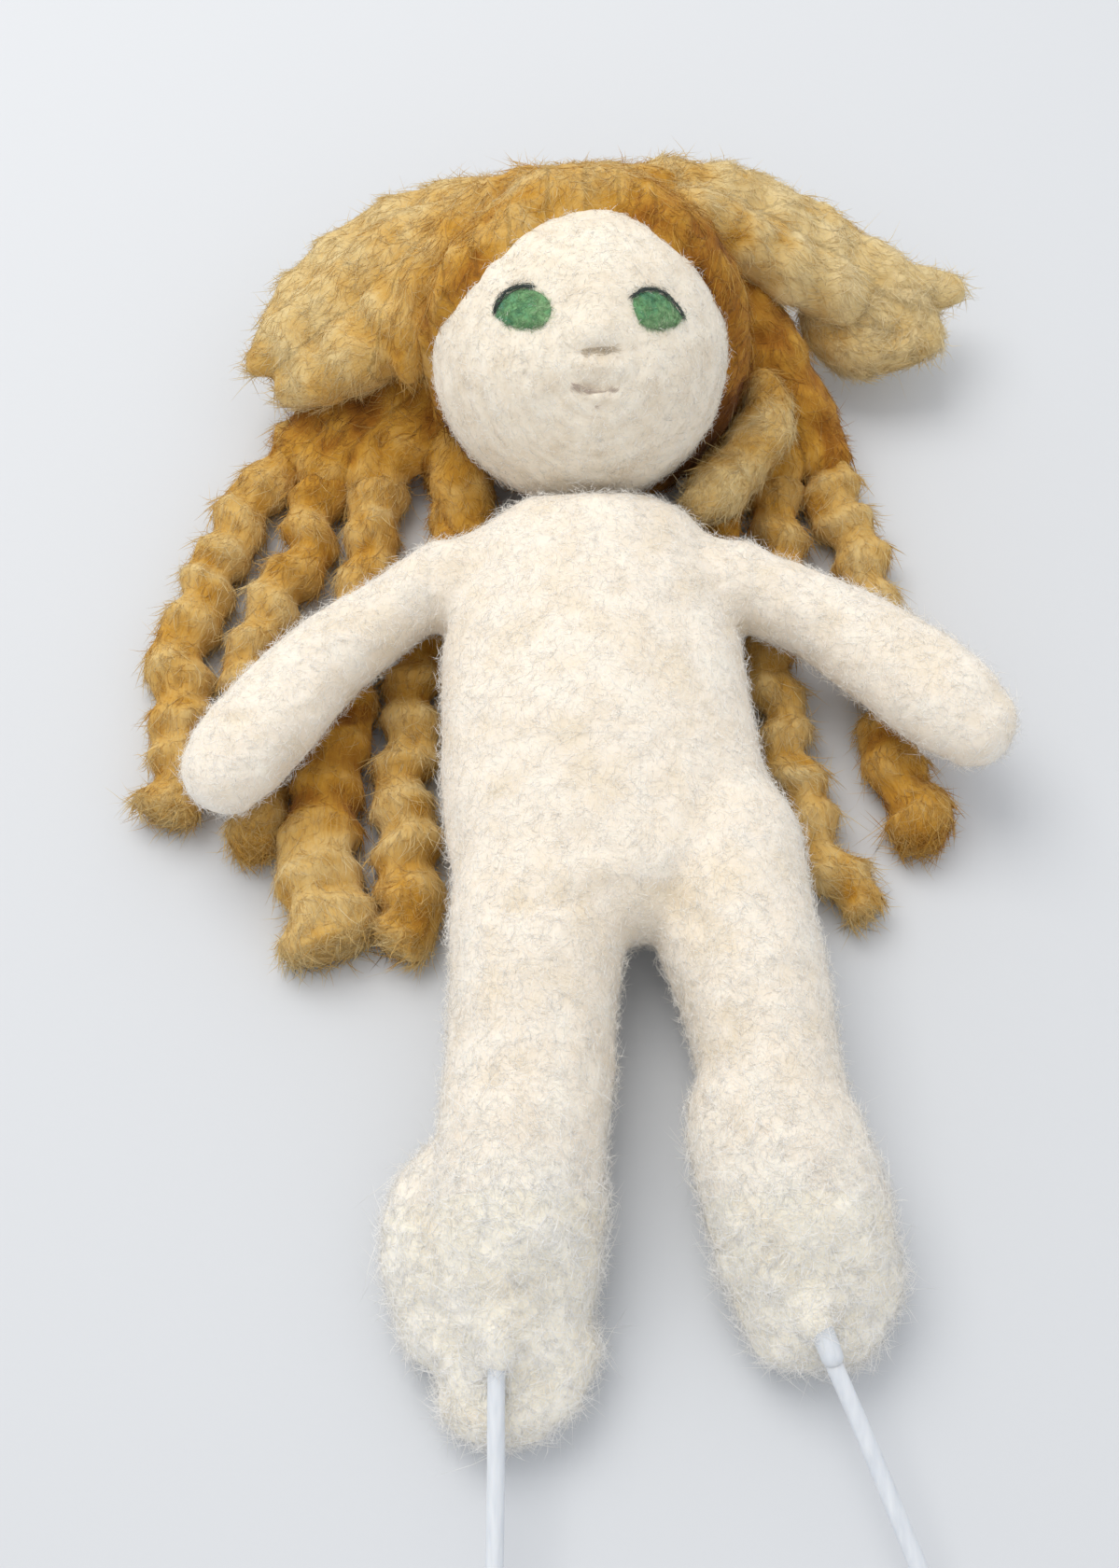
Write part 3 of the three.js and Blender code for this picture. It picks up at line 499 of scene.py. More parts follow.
def wool(
    name, stops, streak, depth, sheen, rough=0.95, mottle=0.25, follow=0.3, clear=0.0, reach=0.12, combed=0.0,
    strokes=0.2,
):
    """Wool. The `tone` attribute moves its colour along the stops by the share `follow`, from -1 to 1, with
    mottling of about 2 mm by the share `mottle`, and streaks as wide as a bundle of fibres by the share
    `strokes`. Streaks are `streak` millimetres wide and stand out by `depth` millimetres. Light goes into
    loose wool by the share `clear` and comes out `reach` millimetres away. Combed wool has the share
    `combed` of its streaks along the `comb` attribute, millimetres along and across the combing."""
    made, tree = empty_material(name)
    place = add_node(tree, "TexCoord").outputs["Object"]
    tone = add_node(tree, "Attribute", attribute_name="tone").outputs["Fac"]
    cloud = add_node(tree, "TexNoise", {"Vector": place, "Scale": 1 / (CLOUD_SIZE * MM), "Detail": 3.0})
    over = None
    for axis, turn in enumerate(((0, 0, 0.6), (0.5, 0.3, -0.7), (0.2, 1.1, 0.4))):
        wide = STREAK_LENGTH * streak * MM
        stretch = [STREAK_LENGTH / wide] * 3
        stretch[axis] = 1 / wide
        turned = add_node(tree, "Mapping", {"Vector": place, "Rotation": turn, "Scale": stretch})
        drawn = add_node(tree, "TexNoise", {"Vector": turned, "Scale": 1.0, "Detail": 2.0, "Distortion": 0.6})
        over = drawn if over is None else add_node(tree, "Math", {0: over, 1: drawn}, operation="MAXIMUM")
    if combed:
        comb = add_node(tree, "Attribute", attribute_name="comb").outputs["Vector"]
        thin = (1 / (COMBED_LENGTH * streak), 1 / streak, 1 / streak)
        laid = add_node(tree, "Mapping", {"Vector": comb, "Scale": thin})
        laid = add_node(tree, "TexNoise", {"Vector": laid, "Scale": 1.0, "Detail": 3.0, "Distortion": 0.3})
        over = add_node(tree, "Mix", {"Factor": combed, 2: over, 3: laid})
    shade = 0.5 - mottle / 2 - strokes / 2
    for value, share in ((tone, follow), (cloud, mottle), (over, strokes)):
        shade = add_node(tree, "Math", {0: value, 1: share, 2: shade}, operation="MULTIPLY_ADD")
    ramp = add_node(tree, "ValToRGB", {"Fac": shade})
    for k, (position, colour) in enumerate(stops):
        stop = ramp.color_ramp.elements[k] if k < 2 else ramp.color_ramp.elements.new(position)
        stop.position = position
        stop.color = linear(colour)
    relief = add_node(tree, "Bump", {"Height": over, "Strength": 1.0, "Distance": depth * MM})
    surface = {
        "Base Color": ramp,
        "Normal": relief,
        "Roughness": rough,
        "Specular IOR Level": 0.15,
        "Sheen Weight": sheen,
        "Sheen Roughness": 0.5,
        "Subsurface Weight": clear,
        "Subsurface Radius": (1.0, 0.9, 0.75),
        "Subsurface Scale": reach * MM,
    }
    add_node(tree, "OutputMaterial", {"Surface": add_node(tree, "BsdfPrincipled", surface)})
    return made


# Name, colour stops with the two ends first, streak width, relief and sheen, and what differs from the usual
FELT_LIGHT = {"clear": 0.2, "reach": 0.5}
WOOLS = {
    # Fine white wool, needle-felted to a firm matte skin: cream mottling and short fibre streaks, no shine.
    "felt": dict(
        name="felted_white_wool",
        stops=[(0.0, "#dccdb4"), (1.0, "#fffaf1"), (0.3, "#ede1cd"), (0.55, "#f6ede0"), (0.8, "#fbf5ea")],
        streak=0.30, depth=0.15, sheen=0.2, strokes=0.36, **FELT_LIGHT,
    ),
    # The same wool on the face, where the needle drew the fibres round the mouth in fine curved furrows.
    "face": dict(
        name="needled_white_wool",
        stops=[(0.0, "#cfbfa6"), (1.0, "#fffaf0"), (0.3, "#e6d9c4"), (0.55, "#f5ecdc"), (0.8, "#fbf5e9")],
        streak=0.34, depth=0.22, sheen=0.3, combed=0.45, strokes=0.5, **FELT_LIGHT,
    ),
    # The same wool carded and barely felted: the relief is softer under its loose fibres, and its stops are a
    # little lighter than the felt's, painted light against the shade of the feet's fuzz.
    "batt": dict(
        name="loose_carded_wool",
        stops=[(0.0, "#e0d1b6"), (1.0, "#fffbf1"), (0.3, "#f0e4cd"), (0.55, "#f9f0df"), (0.8, "#fdf7e9")],
        streak=0.30, depth=0.13, sheen=0.2, strokes=0.36, **FELT_LIGHT,
    ),
    # Dyed golden wool locks: golden patches and fine strands along the combing; through the tone it also
    # takes tan crests and orange-brown folds, which are painted light and shade.
    "gold": dict(
        name="dyed_golden_wool",
        stops=[
            (0.0, "#70430f"), (1.0, "#ecdaae"), (0.18, "#a16a22"), (0.36, "#c59338"), (0.54, "#d3ad64"),
            (0.74, "#dec68f"),
        ],
        streak=0.30, depth=0.22, sheen=0.08, mottle=0.2, clear=0.25, reach=0.6, combed=0.7, strokes=0.34,
    ),
    # Single fibres that stand off the felt in a pale halo: their light stops are painted light, in place of
    # the light that comes through thin wool.
    "halo": dict(
        name="single_white_wool_fibres",
        stops=[(0.0, "#eee4d2"), (1.0, "#ffffff"), (0.4, "#fbf5ea"), (0.7, "#fffdf8")],
        streak=0.22, depth=0.02, sheen=0.1,
    ),
    # Single fibres of the golden wool, pale and bright at the edges of each lock: painted light, in place of
    # the light that comes through thin fibres.
    "wisps": dict(
        name="single_golden_wool_fibres",
        stops=[
            (0.0, "#774812"), (1.0, "#f0e0b8"), (0.18, "#a46d26"), (0.36, "#c7963c"), (0.54, "#d6b26c"),
            (0.74, "#e0ca96"),
        ],
        streak=0.25, depth=0.02, sheen=0.1, rough=0.9, mottle=0.1, follow=0.32,
    ),
    # Dyed green wool needled in as an iris: mottled where blue-green and grass-green fibres mix.
    "green": dict(
        name="dyed_green_wool",
        stops=[(0.0, "#47836c"), (1.0, "#c2dcb4"), (0.3, "#5f9c7d"), (0.55, "#74aa76"), (0.8, "#96bf8c")],
        streak=0.20, depth=0.12, sheen=0.2, rough=0.9, mottle=0.5, strokes=0.4,
    ),
    # Charcoal wool rolled to a thin strand for the lashes: soft black, never glossy.
    "dark": dict(
        name="charcoal_wool_strand",
        stops=[(0.0, "#2b3536"), (1.0, "#707a74"), (0.5, "#434d4b")],
        streak=0.12, depth=0.06, sheen=0.2, rough=0.9,
    ),
    # A wisp of greyed pink wool for the mouth.
    "pink": dict(
        name="dusky_pink_wool",
        stops=[(0.0, "#cdb9ac"), (1.0, "#efe4d8"), (0.5, "#dbcbbf")],
        streak=0.15, depth=0.06, sheen=0.2,
    ),
    # A wisp of tan wool in the dent of the nose.
    "tan": dict(
        name="pale_tan_wool",
        stops=[(0.0, "#c6b59b"), (1.0, "#efe4d2"), (0.5, "#d9cab2")],
        streak=0.15, depth=0.06, sheen=0.2,
    ),
}
PLASTIC = "extruded_milky_plastic"
PLASTIC_IOR = 1.49


def plastic():
    """Extruded milky plastic round the armature's wire: smooth, half clear, with a soft highlight along it,
    and faint streaks about 0.7 mm wide and 6 mm long from the die."""
    made, tree = empty_material(PLASTIC)
    place = add_node(tree, "TexCoord").outputs["Object"]
    drawn = add_node(tree, "Mapping", {"Vector": place, "Scale": (1500.0, 160.0, 1500.0)})
    streak = add_node(tree, "TexNoise", {"Vector": drawn, "Scale": 1.0, "Detail": 2.0})
    ramp = add_node(tree, "ValToRGB", {"Fac": streak})
    ramp.color_ramp.elements[0].color = linear("#c9d0da")
    ramp.color_ramp.elements[1].color = linear("#e9edf2")
    relief = add_node(tree, "Bump", {"Height": streak, "Strength": 0.4, "Distance": 0.03 * MM})
    surface = {
        "Base Color": ramp,
        "Normal": relief,
        "Roughness": 0.32,
        "IOR": PLASTIC_IOR,
        "Subsurface Weight": 0.35,
        "Subsurface Radius": (0.6, 0.7, 0.8),
        "Subsurface Scale": 0.8 * MM,
    }
    add_node(tree, "OutputMaterial", {"Surface": add_node(tree, "BsdfPrincipled", surface)})
    return made


def material(look):
    """One of the doll's materials, made when it is first asked for."""
    if look == "wire":
        return bpy.data.materials.get(PLASTIC) or plastic()
    return bpy.data.materials.get(WOOLS[look]["name"]) or wool(**WOOLS[look])


# Pieces on their bodies


# How full of wool the felt skins are
HEAD_FILL = 0.95


def settle(obj, rides, replaces=()):
    """Puts a finished piece on its body when `rides` names one; when it has two bodies, a start and an end,
    the piece's transform is only baked into its points."""
    if len(rides) == 1:
        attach(obj, rides[0])
    else:
        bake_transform(obj)
    if replaces:
        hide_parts(*replaces)


def piece(name, points, faces, look, rides, slot, replaces=(), fill=None, **attributes):
    """A finished piece from its points, its faces and its attributes, in the material of that look."""
    obj = object_of(name, mesh_of(name, points, faces, **attributes), material(look))
    settle(obj, rides, replaces)


# Body: stations of x, y, z, half width and half depth in millimetres

TORSO = [
    (4.0, -13.6, 11.3, 21.7, 11.0), (2.0, -5, 12.2, 20.8, 12.1), (0.8, 5, 12.9, 20.1, 13.1),
    (0.3, 16, 12.9, 19.8, 13.3), (0.3, 22.4, 13.6, 19.0, 12.9), (0.1, 27.3, 14.7, 17.4, 11.6),
]
ARMS = {
    "right": [
        (-12, 27.6, 14.0, 6.8, 7.0), (-20.6, 24.2, 14.5, 5.8, 6.4), (-26.8, 20.2, 14.5, 5.1, 5.7),
        (-31.6, 16.5, 14.5, 5.6, 5.8), (-36.2, 11.5, 14.6, 6.1, 5.9), (-41.2, 4.9, 14.8, 6.5, 6.1),
        (-44.9, -0.4, 14.7, 6.5, 5.9), (-46.6, -2.8, 14.6, 5.8, 5.0),
    ],
    "left": [
        (12, 27.2, 14.0, 6.8, 7.0), (20.6, 24.2, 14.5, 5.9, 6.5), (27.9, 21.6, 14.5, 5.6, 5.9),
        (32.2, 19.1, 14.5, 5.9, 5.9), (36.8, 15.8, 14.6, 6.7, 6.1), (42.2, 10.9, 14.8, 7.1, 6.3),
        (47.2, 6.4, 14.7, 6.8, 6.0), (49.6, 4.2, 14.6, 6.0, 5.0),
    ],
}
LEGS = {
    "right": [
        (-5.9, -12, 11.0, 11.2, 10.8), (-6.7, -23, 11.0, 11.0, 10.7), (-7.2, -31, 10.6, 10.4, 10.3),
        (-7.7, -41, 10.0, 9.9, 9.7), (-8.6, -50, 9.8, 10.2, 9.5), (-9.3, -58, 8.9, 10.6, 8.5),
        (-9.7, -66, 7.1, 10.4, 6.5), (-10.2, -72.5, 5.4, 9.0, 4.8), (-11.2, -78.5, 4.6, 6.8, 3.9),
    ],
    "left": [
        (16.4, -12, 11.0, 10.4, 10.8), (17.9, -23, 11.0, 10.0, 10.7), (19.6, -31, 10.6, 9.2, 10.3),
        (20.8, -38, 10.1, 8.6, 9.8), (21.2, -41.8, 10.0, 8.7, 9.6), (21.2, -46.2, 9.8, 10.2, 9.5),
        (22.4, -52, 9.5, 10.6, 9.2), (24.0, -58, 8.8, 10.7, 8.4), (25.1, -64.5, 6.9, 10.2, 6.3),
        (25.2, -70, 5.4, 8.0, 4.6),
    ],
}
# Loose batting at the feet that stands out to the side and on top
FOOT_TUFTS = [
    [(-17.0, -52.5, 7.6, 4.6, 5.0), (-20.2, -56.5, 6.8, 4.3, 4.6), (-20.2, -63.0, 6.0, 4.3, 4.2),
     (-17.2, -70.0, 5.2, 4.8, 3.8)],
    [(30.0, -60.0, 7.2, 4.8, 4.8), (31.8, -64.2, 6.4, 4.5, 4.2), (30.2, -67.6, 5.6, 4.0, 3.6)],
    [(-6.0, -76.0, 4.8, 4.6, 3.6), (-3.2, -71.0, 5.4, 4.2, 3.9)],
    [(-9.9, -62.5, 9.6, 2.8, 3.2), (-10.6, -69.0, 10.8, 2.2, 2.3), (-10.8, -74.0, 11.0, 1.5, 1.6)],
    [(23.4, -61.5, 10.0, 2.6, 3.0), (23.8, -65.5, 10.9, 2.2, 2.3), (24.5, -70.0, 11.1, 1.7, 1.8)],
]
# Where the felt is cut: across x at the arms and between the legs, across y at the hips, thighs and ankles
ARM_PLANE = 21.2
HIP_PLANE = -2.5
CROTCH_PLANE = 5.8
THIGH_PLANE = -30.5
ANKLE_PLANE = -56.8
# The middle of the shoulder's round section in y and z, its radius, and how strongly the felt is drawn to it
SHOULDER = np.array([26.2, 14.5])
ARM_SEAM_RADIUS = 6.3
ARM_SEAM_PULL = 0.5
FLOOR_GAP = 0.1

HEAD_CENTRE = np.array([-1.2, 56.9, 24.0])
HEAD_RADIUS = 20.2
# The face leans back by this angle from the way up off the floor
FACE_LEAN = math.radians(40)
# The neck's joint, how far it nods in degrees, and the room that the torso leaves for the head
NECK = np.array([-1.2, 37.7, 20.0])
NECK_NOD = 25
NECK_GAP = 0.2
NECK_SOFTNESS = 0.7
# The doll's sides and the sign of x there
SIDES = {"right": -1, "left": 1}

# Where each joint bends, as bodies, start and end
RIDES = {
    "torso": ("torso",),
    "head": ("head",),
    "right_arm": ("right_upper_arm", "right_forearm", (-27.9, 20.5, 14.5), (-34.5, 14.2, 14.5)),
    "left_arm": ("left_upper_arm", "left_forearm", (28.8, 21.4, 14.5), (35.8, 17.0, 14.5)),
    "right_hip": ("torso", "right_thigh", (-6, -3.5, 11), (-6, -26.5, 11)),
    "left_hip": ("torso", "left_thigh", (16, -3.5, 11), (16, -26.5, 11)),
    "right_leg": ("right_thigh", "right_shin", (-7.5, -34.5, 9.6), (-8.4, -51.5, 9.6)),
    "left_leg": ("left_thigh", "left_shin", (19.4, -34.3, 9.6), (22.2, -51.0, 9.6)),
    "right_foot": ("right_shin",),
    "left_foot": ("left_shin",),
}
FEET = ("right_foot", "left_foot")
# The solids whose place each piece of felt takes
REPLACED = {
    "torso": ("torso",),
    "right_arm": ("right_upper_arm", "right_forearm"),
    "left_arm": ("left_upper_arm", "left_forearm"),
    "right_hip": ("right_thigh",),
    "left_hip": ("left_thigh",),
    "right_leg": ("right_shin",),
    "left_leg": ("left_shin",),
    "right_foot": ("right_foot_batt",),
    "left_foot": ("left_foot_batt",),
}


def is_arm(points, sign):
    """True beyond the shoulder's seam, on the arm and not on the hip."""
    x = points[:, 0] * sign
    return (x > ARM_PLANE) & (points[:, 1] > 14 - 2 * (x - ARM_PLANE))


def region_of(points):
    """The name of the piece of felt that each point belongs to."""
    names = np.full(len(points), "torso", dtype=object)
    x, y = points[:, 0], points[:, 1]
    for side, sign in SIDES.items():
        own = (x - CROTCH_PLANE) * sign > 0
        names[own & (y < HIP_PLANE)] = f"{side}_hip"
        names[own & (y < THIGH_PLANE)] = f"{side}_leg"
        names[own & (y < ANKLE_PLANE)] = f"{side}_foot"
    for side, sign in SIDES.items():
        names[is_arm(points, sign)] = f"{side}_arm"
    return names


# Folds and dents of the felt: route, width and depth in millimetres
FOLDS = [
    ([(-17.2, -15.6, 22), (-10.6, -14.9, 23), (-4.0, -14.9, 23.5), (1.5, -17.0, 23),
      (5.8, -20.9, 21.5)], 1.4, 0.95),
    ([(-8.4, -23.4, 21), (0.4, -22.8, 21), (5.9, -21.6, 20.5), (9.2, -23.4, 20),
      (12.4, -25.2, 20)], 1.7, 0.7),
    ([(-48.1, 3.3, 19), (-44.5, 2.0, 20.5), (-40.4, 2.6, 19)], 0.9, 0.7),
    ([(-20, 17.5, 14), (-19.5, 20, 21), (-19, 24, 22.5)], 1.3, 0.5),
    ([(20.5, 17.5, 14), (20, 20, 21), (19.5, 24, 22.5)], 1.3, 0.45),
    ([(11, -27, 20), (16, -27.5, 21), (21, -26, 20.5)], 1.8, 0.35),
]
# Painted shade in the fold on the inner left thigh, and the felting of the body: cubes in millimetres
# and rounds of softening
FOLD_SHADE_SPOT = (9.4, -22.5, 20)
BODY_VOXEL = 0.55
BODY_ROUNDS = 26


def body_skin():
    """The whole body's felt skin: torso, arms and legs felted together, with the lumps, folds and dents of
    the felt. A point moves out of the nodding head's way by the softened step ln(1 + e^x), then along its
    normal by noise of 9, 4 and 1.7 mm features, less the folds' depth. Near the shoulder's seam it is drawn
    to a round section, and under the floor's gap it is eased up to it."""
    parts = [loft(TORSO, sides=48)]
    for side in SIDES:
        parts.append(loft(ARMS[side], sides=32))
        parts.append(loft(LEGS[side], sides=40))
    parts += [loft(tuft, sides=24) for tuft in FOOT_TUFTS]
    points, faces = felted_together(parts, BODY_VOXEL, BODY_ROUNDS)
    room = HEAD_RADIUS + NECK_GAP
    rel = HEAD_CENTRE - NECK
    for nod in np.radians(np.linspace(0, NECK_NOD, 6)):
        cosine, sine = math.cos(nod), math.sin(nod)
        centre = NECK + np.array([rel[0], rel[1] * cosine - rel[2] * sine, rel[1] * sine + rel[2] * cosine])
        away = points - centre
        far = np.linalg.norm(away, axis=1, keepdims=True)
        clear = room + NECK_SOFTNESS * np.logaddexp(0, (far - room) / NECK_SOFTNESS)
        points = centre + away / far * clear
    normals = point_normals(points, faces)
    loose = eased(-points[:, 1], 38, 66)
    lumps = 0.40 * noise(points, 9, 1) + 0.19 * noise(points, 4, 2) + 0.13 * noise(points, 1.7, 3)
    lumps = lumps * (1 + 0.7 * loose)
    for route, width, depth in FOLDS:
        lumps = lumps - depth * furrow(points, route, width)
    points = points + normals * lumps[:, None]
    for sign in SIDES.values():
        across = points[:, 1:] - SHOULDER
        radius = np.linalg.norm(across, axis=1, keepdims=True)
        beyond = ((points[:, :1] * sign - ARM_PLANE) / 2.5) ** 2 + ((radius - ARM_SEAM_RADIUS) / 4) ** 2
        points[:, 1:] += across / radius * np.exp(-beyond) * ARM_SEAM_PULL * (ARM_SEAM_RADIUS - radius)
    low = points[:, 2]
    points[:, 2] = np.where(low < FLOOR_GAP + 1, FLOOR_GAP + np.exp(np.minimum(low - FLOOR_GAP - 1, 0)), low)
    # 0.9·loose is painted light on the shins and feet, against the shade of their fuzz
    # The noise is the felt's own mottling; 0.6·lumps is painted shade, darker in folds and hollows, lighter
    # on lumps
    tone = 0.7 * noise(points, 5, 5) + 0.4 * noise(points, 2, 6) + 0.6 * lumps + 0.9 * loose
    # Less a spot of painted shade in the fold on the inner left thigh
    return points, faces, tone - 1.1 * spot(points, FOLD_SHADE_SPOT, 3.5)


def cut(body, plane, normal, drop):
    """Cuts a mesh along a plane, deletes the faces whose middle `drop` says, and closes the hole."""
    everything = body.verts[:] + body.edges[:] + body.faces[:]
    bmesh.ops.bisect_plane(
        body, geom=everything, plane_co=np.array(plane) * MM, plane_no=normal, dist=1e-7
    )
    middles = np.array([f.calc_center_median() for f in body.faces]) / MM
    doomed = [f for f, gone in zip(body.faces[:], drop(middles)) if gone]
    bmesh.ops.delete(body, geom=doomed, context="FACES")
    open_edges = [e for e in body.edges if e.is_boundary]
    before = set(body.faces)
    bmesh.ops.holes_fill(body, edges=open_edges, sides=0)
    for face in body.faces:
        if face not in before:
            face.smooth = False


def joint_cuts():
    """For each piece of the body's felt its cuts: a point on the plane, the plane's normal, and which faces
    go."""
    along_x, along_y = (1, 0, 0), (0, 1, 0)
    cuts = {"torso": [((0, HIP_PLANE, 0), along_y, lambda m: m[:, 1] < HIP_PLANE)]}
    spans = {"hip": (HIP_PLANE, THIGH_PLANE), "leg": (THIGH_PLANE, ANKLE_PLANE), "foot": (ANKLE_PLANE, None)}
    for side, sign in SIDES.items():
        shoulder = (ARM_PLANE * sign, 0, 0)
        cuts["torso"].append((shoulder, along_x, lambda m, sign=sign: is_arm(m, sign)))
        cuts[f"{side}_arm"] = [(shoulder, along_x, lambda m, sign=sign: ~is_arm(m, sign))]
    for side, sign in SIDES.items():
        for part, (top, end) in spans.items():
            steps = [((0, top, 0), along_y, lambda m, top=top: m[:, 1] > top)]
            if end is not None:
                steps.append(((0, end, 0), along_y, lambda m, end=end: m[:, 1] < end))
            middle = (CROTCH_PLANE, 0, 0)
            steps.append((middle, along_x, lambda m, sign=sign: on_other_side(m, sign) | is_arm(m, sign)))
            cuts[f"{side}_{part}"] = steps
    return cuts


def on_other_side(points, sign):
    """True past the crotch's plane from the side of that sign."""
    return (points[:, 0] - CROTCH_PLANE) * sign < 0


def cut_pieces(points, faces, tone):
    """The body's skin cut at the joints into closed pieces, whose shading goes on across the cuts."""
    normals = point_normals(points, faces)
    mesh = mesh_of("body", points, faces, tone=tone)
    layer = mesh.attributes.new("whole_normal", "FLOAT_VECTOR", "POINT")
    layer.data.foreach_set("vector", normals.astype(np.float32).ravel())
    made = {}
    for name, steps in joint_cuts().items():
        body = bmesh.new()
        body.from_mesh(mesh)
        for plane, normal, drop in steps:
            cut(body, plane, normal, drop)
        part = bpy.data.meshes.new(name)
        body.to_mesh(part)
        body.free()
        kept = np.empty(len(part.vertices) * 3, np.float32)
        part.attributes["whole_normal"].data.foreach_get("vector", kept)
        part.attributes.remove(part.attributes["whole_normal"])
        part.normals_split_custom_set_from_vertices(unit(kept.reshape(-1, 3)))
        made[name] = part
    bpy.data.meshes.remove(mesh)
    return made


FIBRE_WIDTH = 0.085
SHORT_FIBRE_WIDTH = 0.075


def body_fuzz(rng, points, faces, tone, settings):
    """The halo of fibres on the body, denser and longer on the shins and feet, shared out between the
    pieces."""
    loose = eased(-points[:, 1], 40, 68)
    under = 0.35 + 0.65 * eased(points[:, 2], 1.0, 5.0)
    # The coats' tones, raised by 0.9 and 1.2, are painted light in place of light passing through thin fibres
    short = fibres(
        rng, points, faces, settings.body_fibres, settings.fuzz_length / MM, SHORT_FIBRE_WIDTH, (1, 65),
        curl=0.9, share=under * (1 + 0.5 * eased(-points[:, 1], 5, 40)), tone=0.5 * tone + 0.9, spread=0.3,
        bury=0.05,
    )
    long = fibres(
        rng, points, faces, settings.foot_fibres, settings.fuzz_length / MM * 1.45, FIBRE_WIDTH, (5, 68),
        curl=1.0, share=under * loose**1.2 + 1e-9, tone=0.5 * tone + 1.2, crimp=0.1, segments=3, spread=0.3,
    )
    collected = {}
    for made, groups, shade, roots in (short, long):
        size = len(made) // len(roots)
        names = np.repeat(region_of(roots), size)
        for name in sorted(set(names)):
            used, left = without(made, groups, names == name)
            collected.setdefault(name, []).append((made[used], left, shade[used]))
    for name, sets in collected.items():
        every, groups, tones = together(sets)
        every[:, 2] = np.maximum(every[:, 2], FLOOR_GAP / 2)
        slot = "loose_wool" if name in FEET else "felted_wool"
        piece(f"{name}_fuzz", every, groups, "halo", RIDES[name], slot, tone=tones)


# Head and face


def from_head(points):
    """How far points are from the head's middle."""
    return np.linalg.norm(points - HEAD_CENTRE, axis=1)


def face_place(points):
    """Points on the head in the face's own axes: across, up the face, and out of it."""
    rel = points - HEAD_CENTRE
    cosine, sine = math.cos(FACE_LEAN), math.sin(FACE_LEAN)
    up = rel[:, 1] * cosine + rel[:, 2] * sine
    out = rel[:, 2] * cosine - rel[:, 1] * sine
    return np.stack([rel[:, 0], up, out], axis=1)


def from_face(places):
    """The face's own axes back to the doll's."""
    places = np.asarray(places, float)
    cosine, sine = math.cos(FACE_LEAN), math.sin(FACE_LEAN)
    across, up, out = places[..., 0], places[..., 1], places[..., 2]
    return np.stack([across, up * cosine - out * sine, up * sine + out * cosine], axis=-1) + HEAD_CENTRE


def on_ball(flat, radius):
    """Flat places on the face, set on a ball of that radius."""
    flat = np.asarray(flat, float)
    out = np.sqrt(np.maximum(HEAD_RADIUS**2 - flat[..., 0] ** 2 - flat[..., 1] ** 2, 1))
    return from_face(np.dstack([flat[..., 0], flat[..., 1], out])[0] * (radius / HEAD_RADIUS))


# Mounds and dents on the face: height, middle across and up, and width across and up, in millimetres
MOUNDS = [
    (-0.55, -7.2, 5.6, 4.2, 3.4), (-0.55, 9.7, 5.3, 4.2, 3.2), (0.75, 2.0, 2.7, 3.0, 2.4),
    (-0.45, 2.1, 0.45, 3.0, 0.95), (0.35, 2.0, -1.6, 4.5, 1.3), (-0.24, 1.9, -4.4, 3.6, 1.0),
    (0.26, 2.2, -5.5, 3.2, 0.8), (-0.2, 2.9, -6.6, 3.6, 0.7), (0.5, 2.2, -11, 6, 3.5),
    (-0.3, 2.4, -12.5, 0.9, 0.5), (0.5, -9, -4, 5, 4), (0.5, 12, -4, 4.5, 4),
]
# Painted shade on the face, in the same way: under the nose, between the lips, and in the chin's dent
PAINTED_SHADE_PLACES = [(0.7, 2.1, 0.4, 2.7, 0.8), (0.3, 1.9, -4.5, 3.0, 0.8), (0.6, 2.4, -12.5, 0.9, 0.5)]


def head_surface(direction):
    """How far the head's felt reaches along directions from its middle: the ball's radius, needled lumps,
    arcs of wrinkles round the mouth, and mounds and dents as bell curves. With it come the painted shade
    in the face's dents and towards the chin, the arcs, and places along and across them for the combing."""
    ball = HEAD_CENTRE + direction * HEAD_RADIUS
    x, y, out = face_place(ball).T
    front = eased(out, 2, 9)

    def bells(table):
        total = 0
        for height, cx, cy, wx, wy in table:
            total = total + height * np.exp(-(((x - cx) / wx) ** 2) - (((y - cy) / wy) ** 2))
        return total * front

    around = np.hypot(x - 2, (y + 1.5) * 0.9)
    angle = np.arctan2(y + 1.5, x - 2)
    ring = np.stack([around, np.cos(angle), np.sin(angle)], axis=1)
    arcs = noise(ring * [1, 4.5, 4.5], np.array([1.25, 3.2, 3.2]), 14)
    fine = noise(ring * [1, 7, 7], np.array([0.75, 2.6, 2.6]), 15)
    low = eased(-y, -1.5, 4) * front
    reach = HEAD_RADIUS + 0.18 * noise(ball, 8, 11) + 0.16 * noise(ball, 3, 12) + 0.10 * noise(ball, 1.3, 13)
    reach = reach + (0.26 * arcs + 0.14 * fine) * (0.35 + 0.65 * low) + bells(MOUNDS)
    comb = np.stack([8 * ring[:, 1], around, 0.6 * ring[:, 2] + 0.6 * noise(ball, 4, 18)], axis=1)
    # The second value is painted shade: bells in the dents and a darkening towards the chin
    return reach, bells(PAINTED_SHADE_PLACES) + 0.25 * eased(-y, 6, 18), arcs * low, comb


def head_skin(rings=170, sides=230):
    """The head's ball, with its poles at the crown and the neck."""
    every = ball_directions(rings, sides)
    reach, dark, arcs, comb = head_surface(every)
    points, faces = ball_skin(HEAD_CENTRE + every * reach[:, None], rings, sides)
    # Less the painted shade; 0.4·arcs is painted shade too, lighter on wrinkles' ridges, darker in their
    # furrows
    tone = 0.5 * noise(points, 4, 16) + 0.3 * noise(points, 1.6, 17) - dark + 0.4 * arcs
    return points, faces, tone, comb


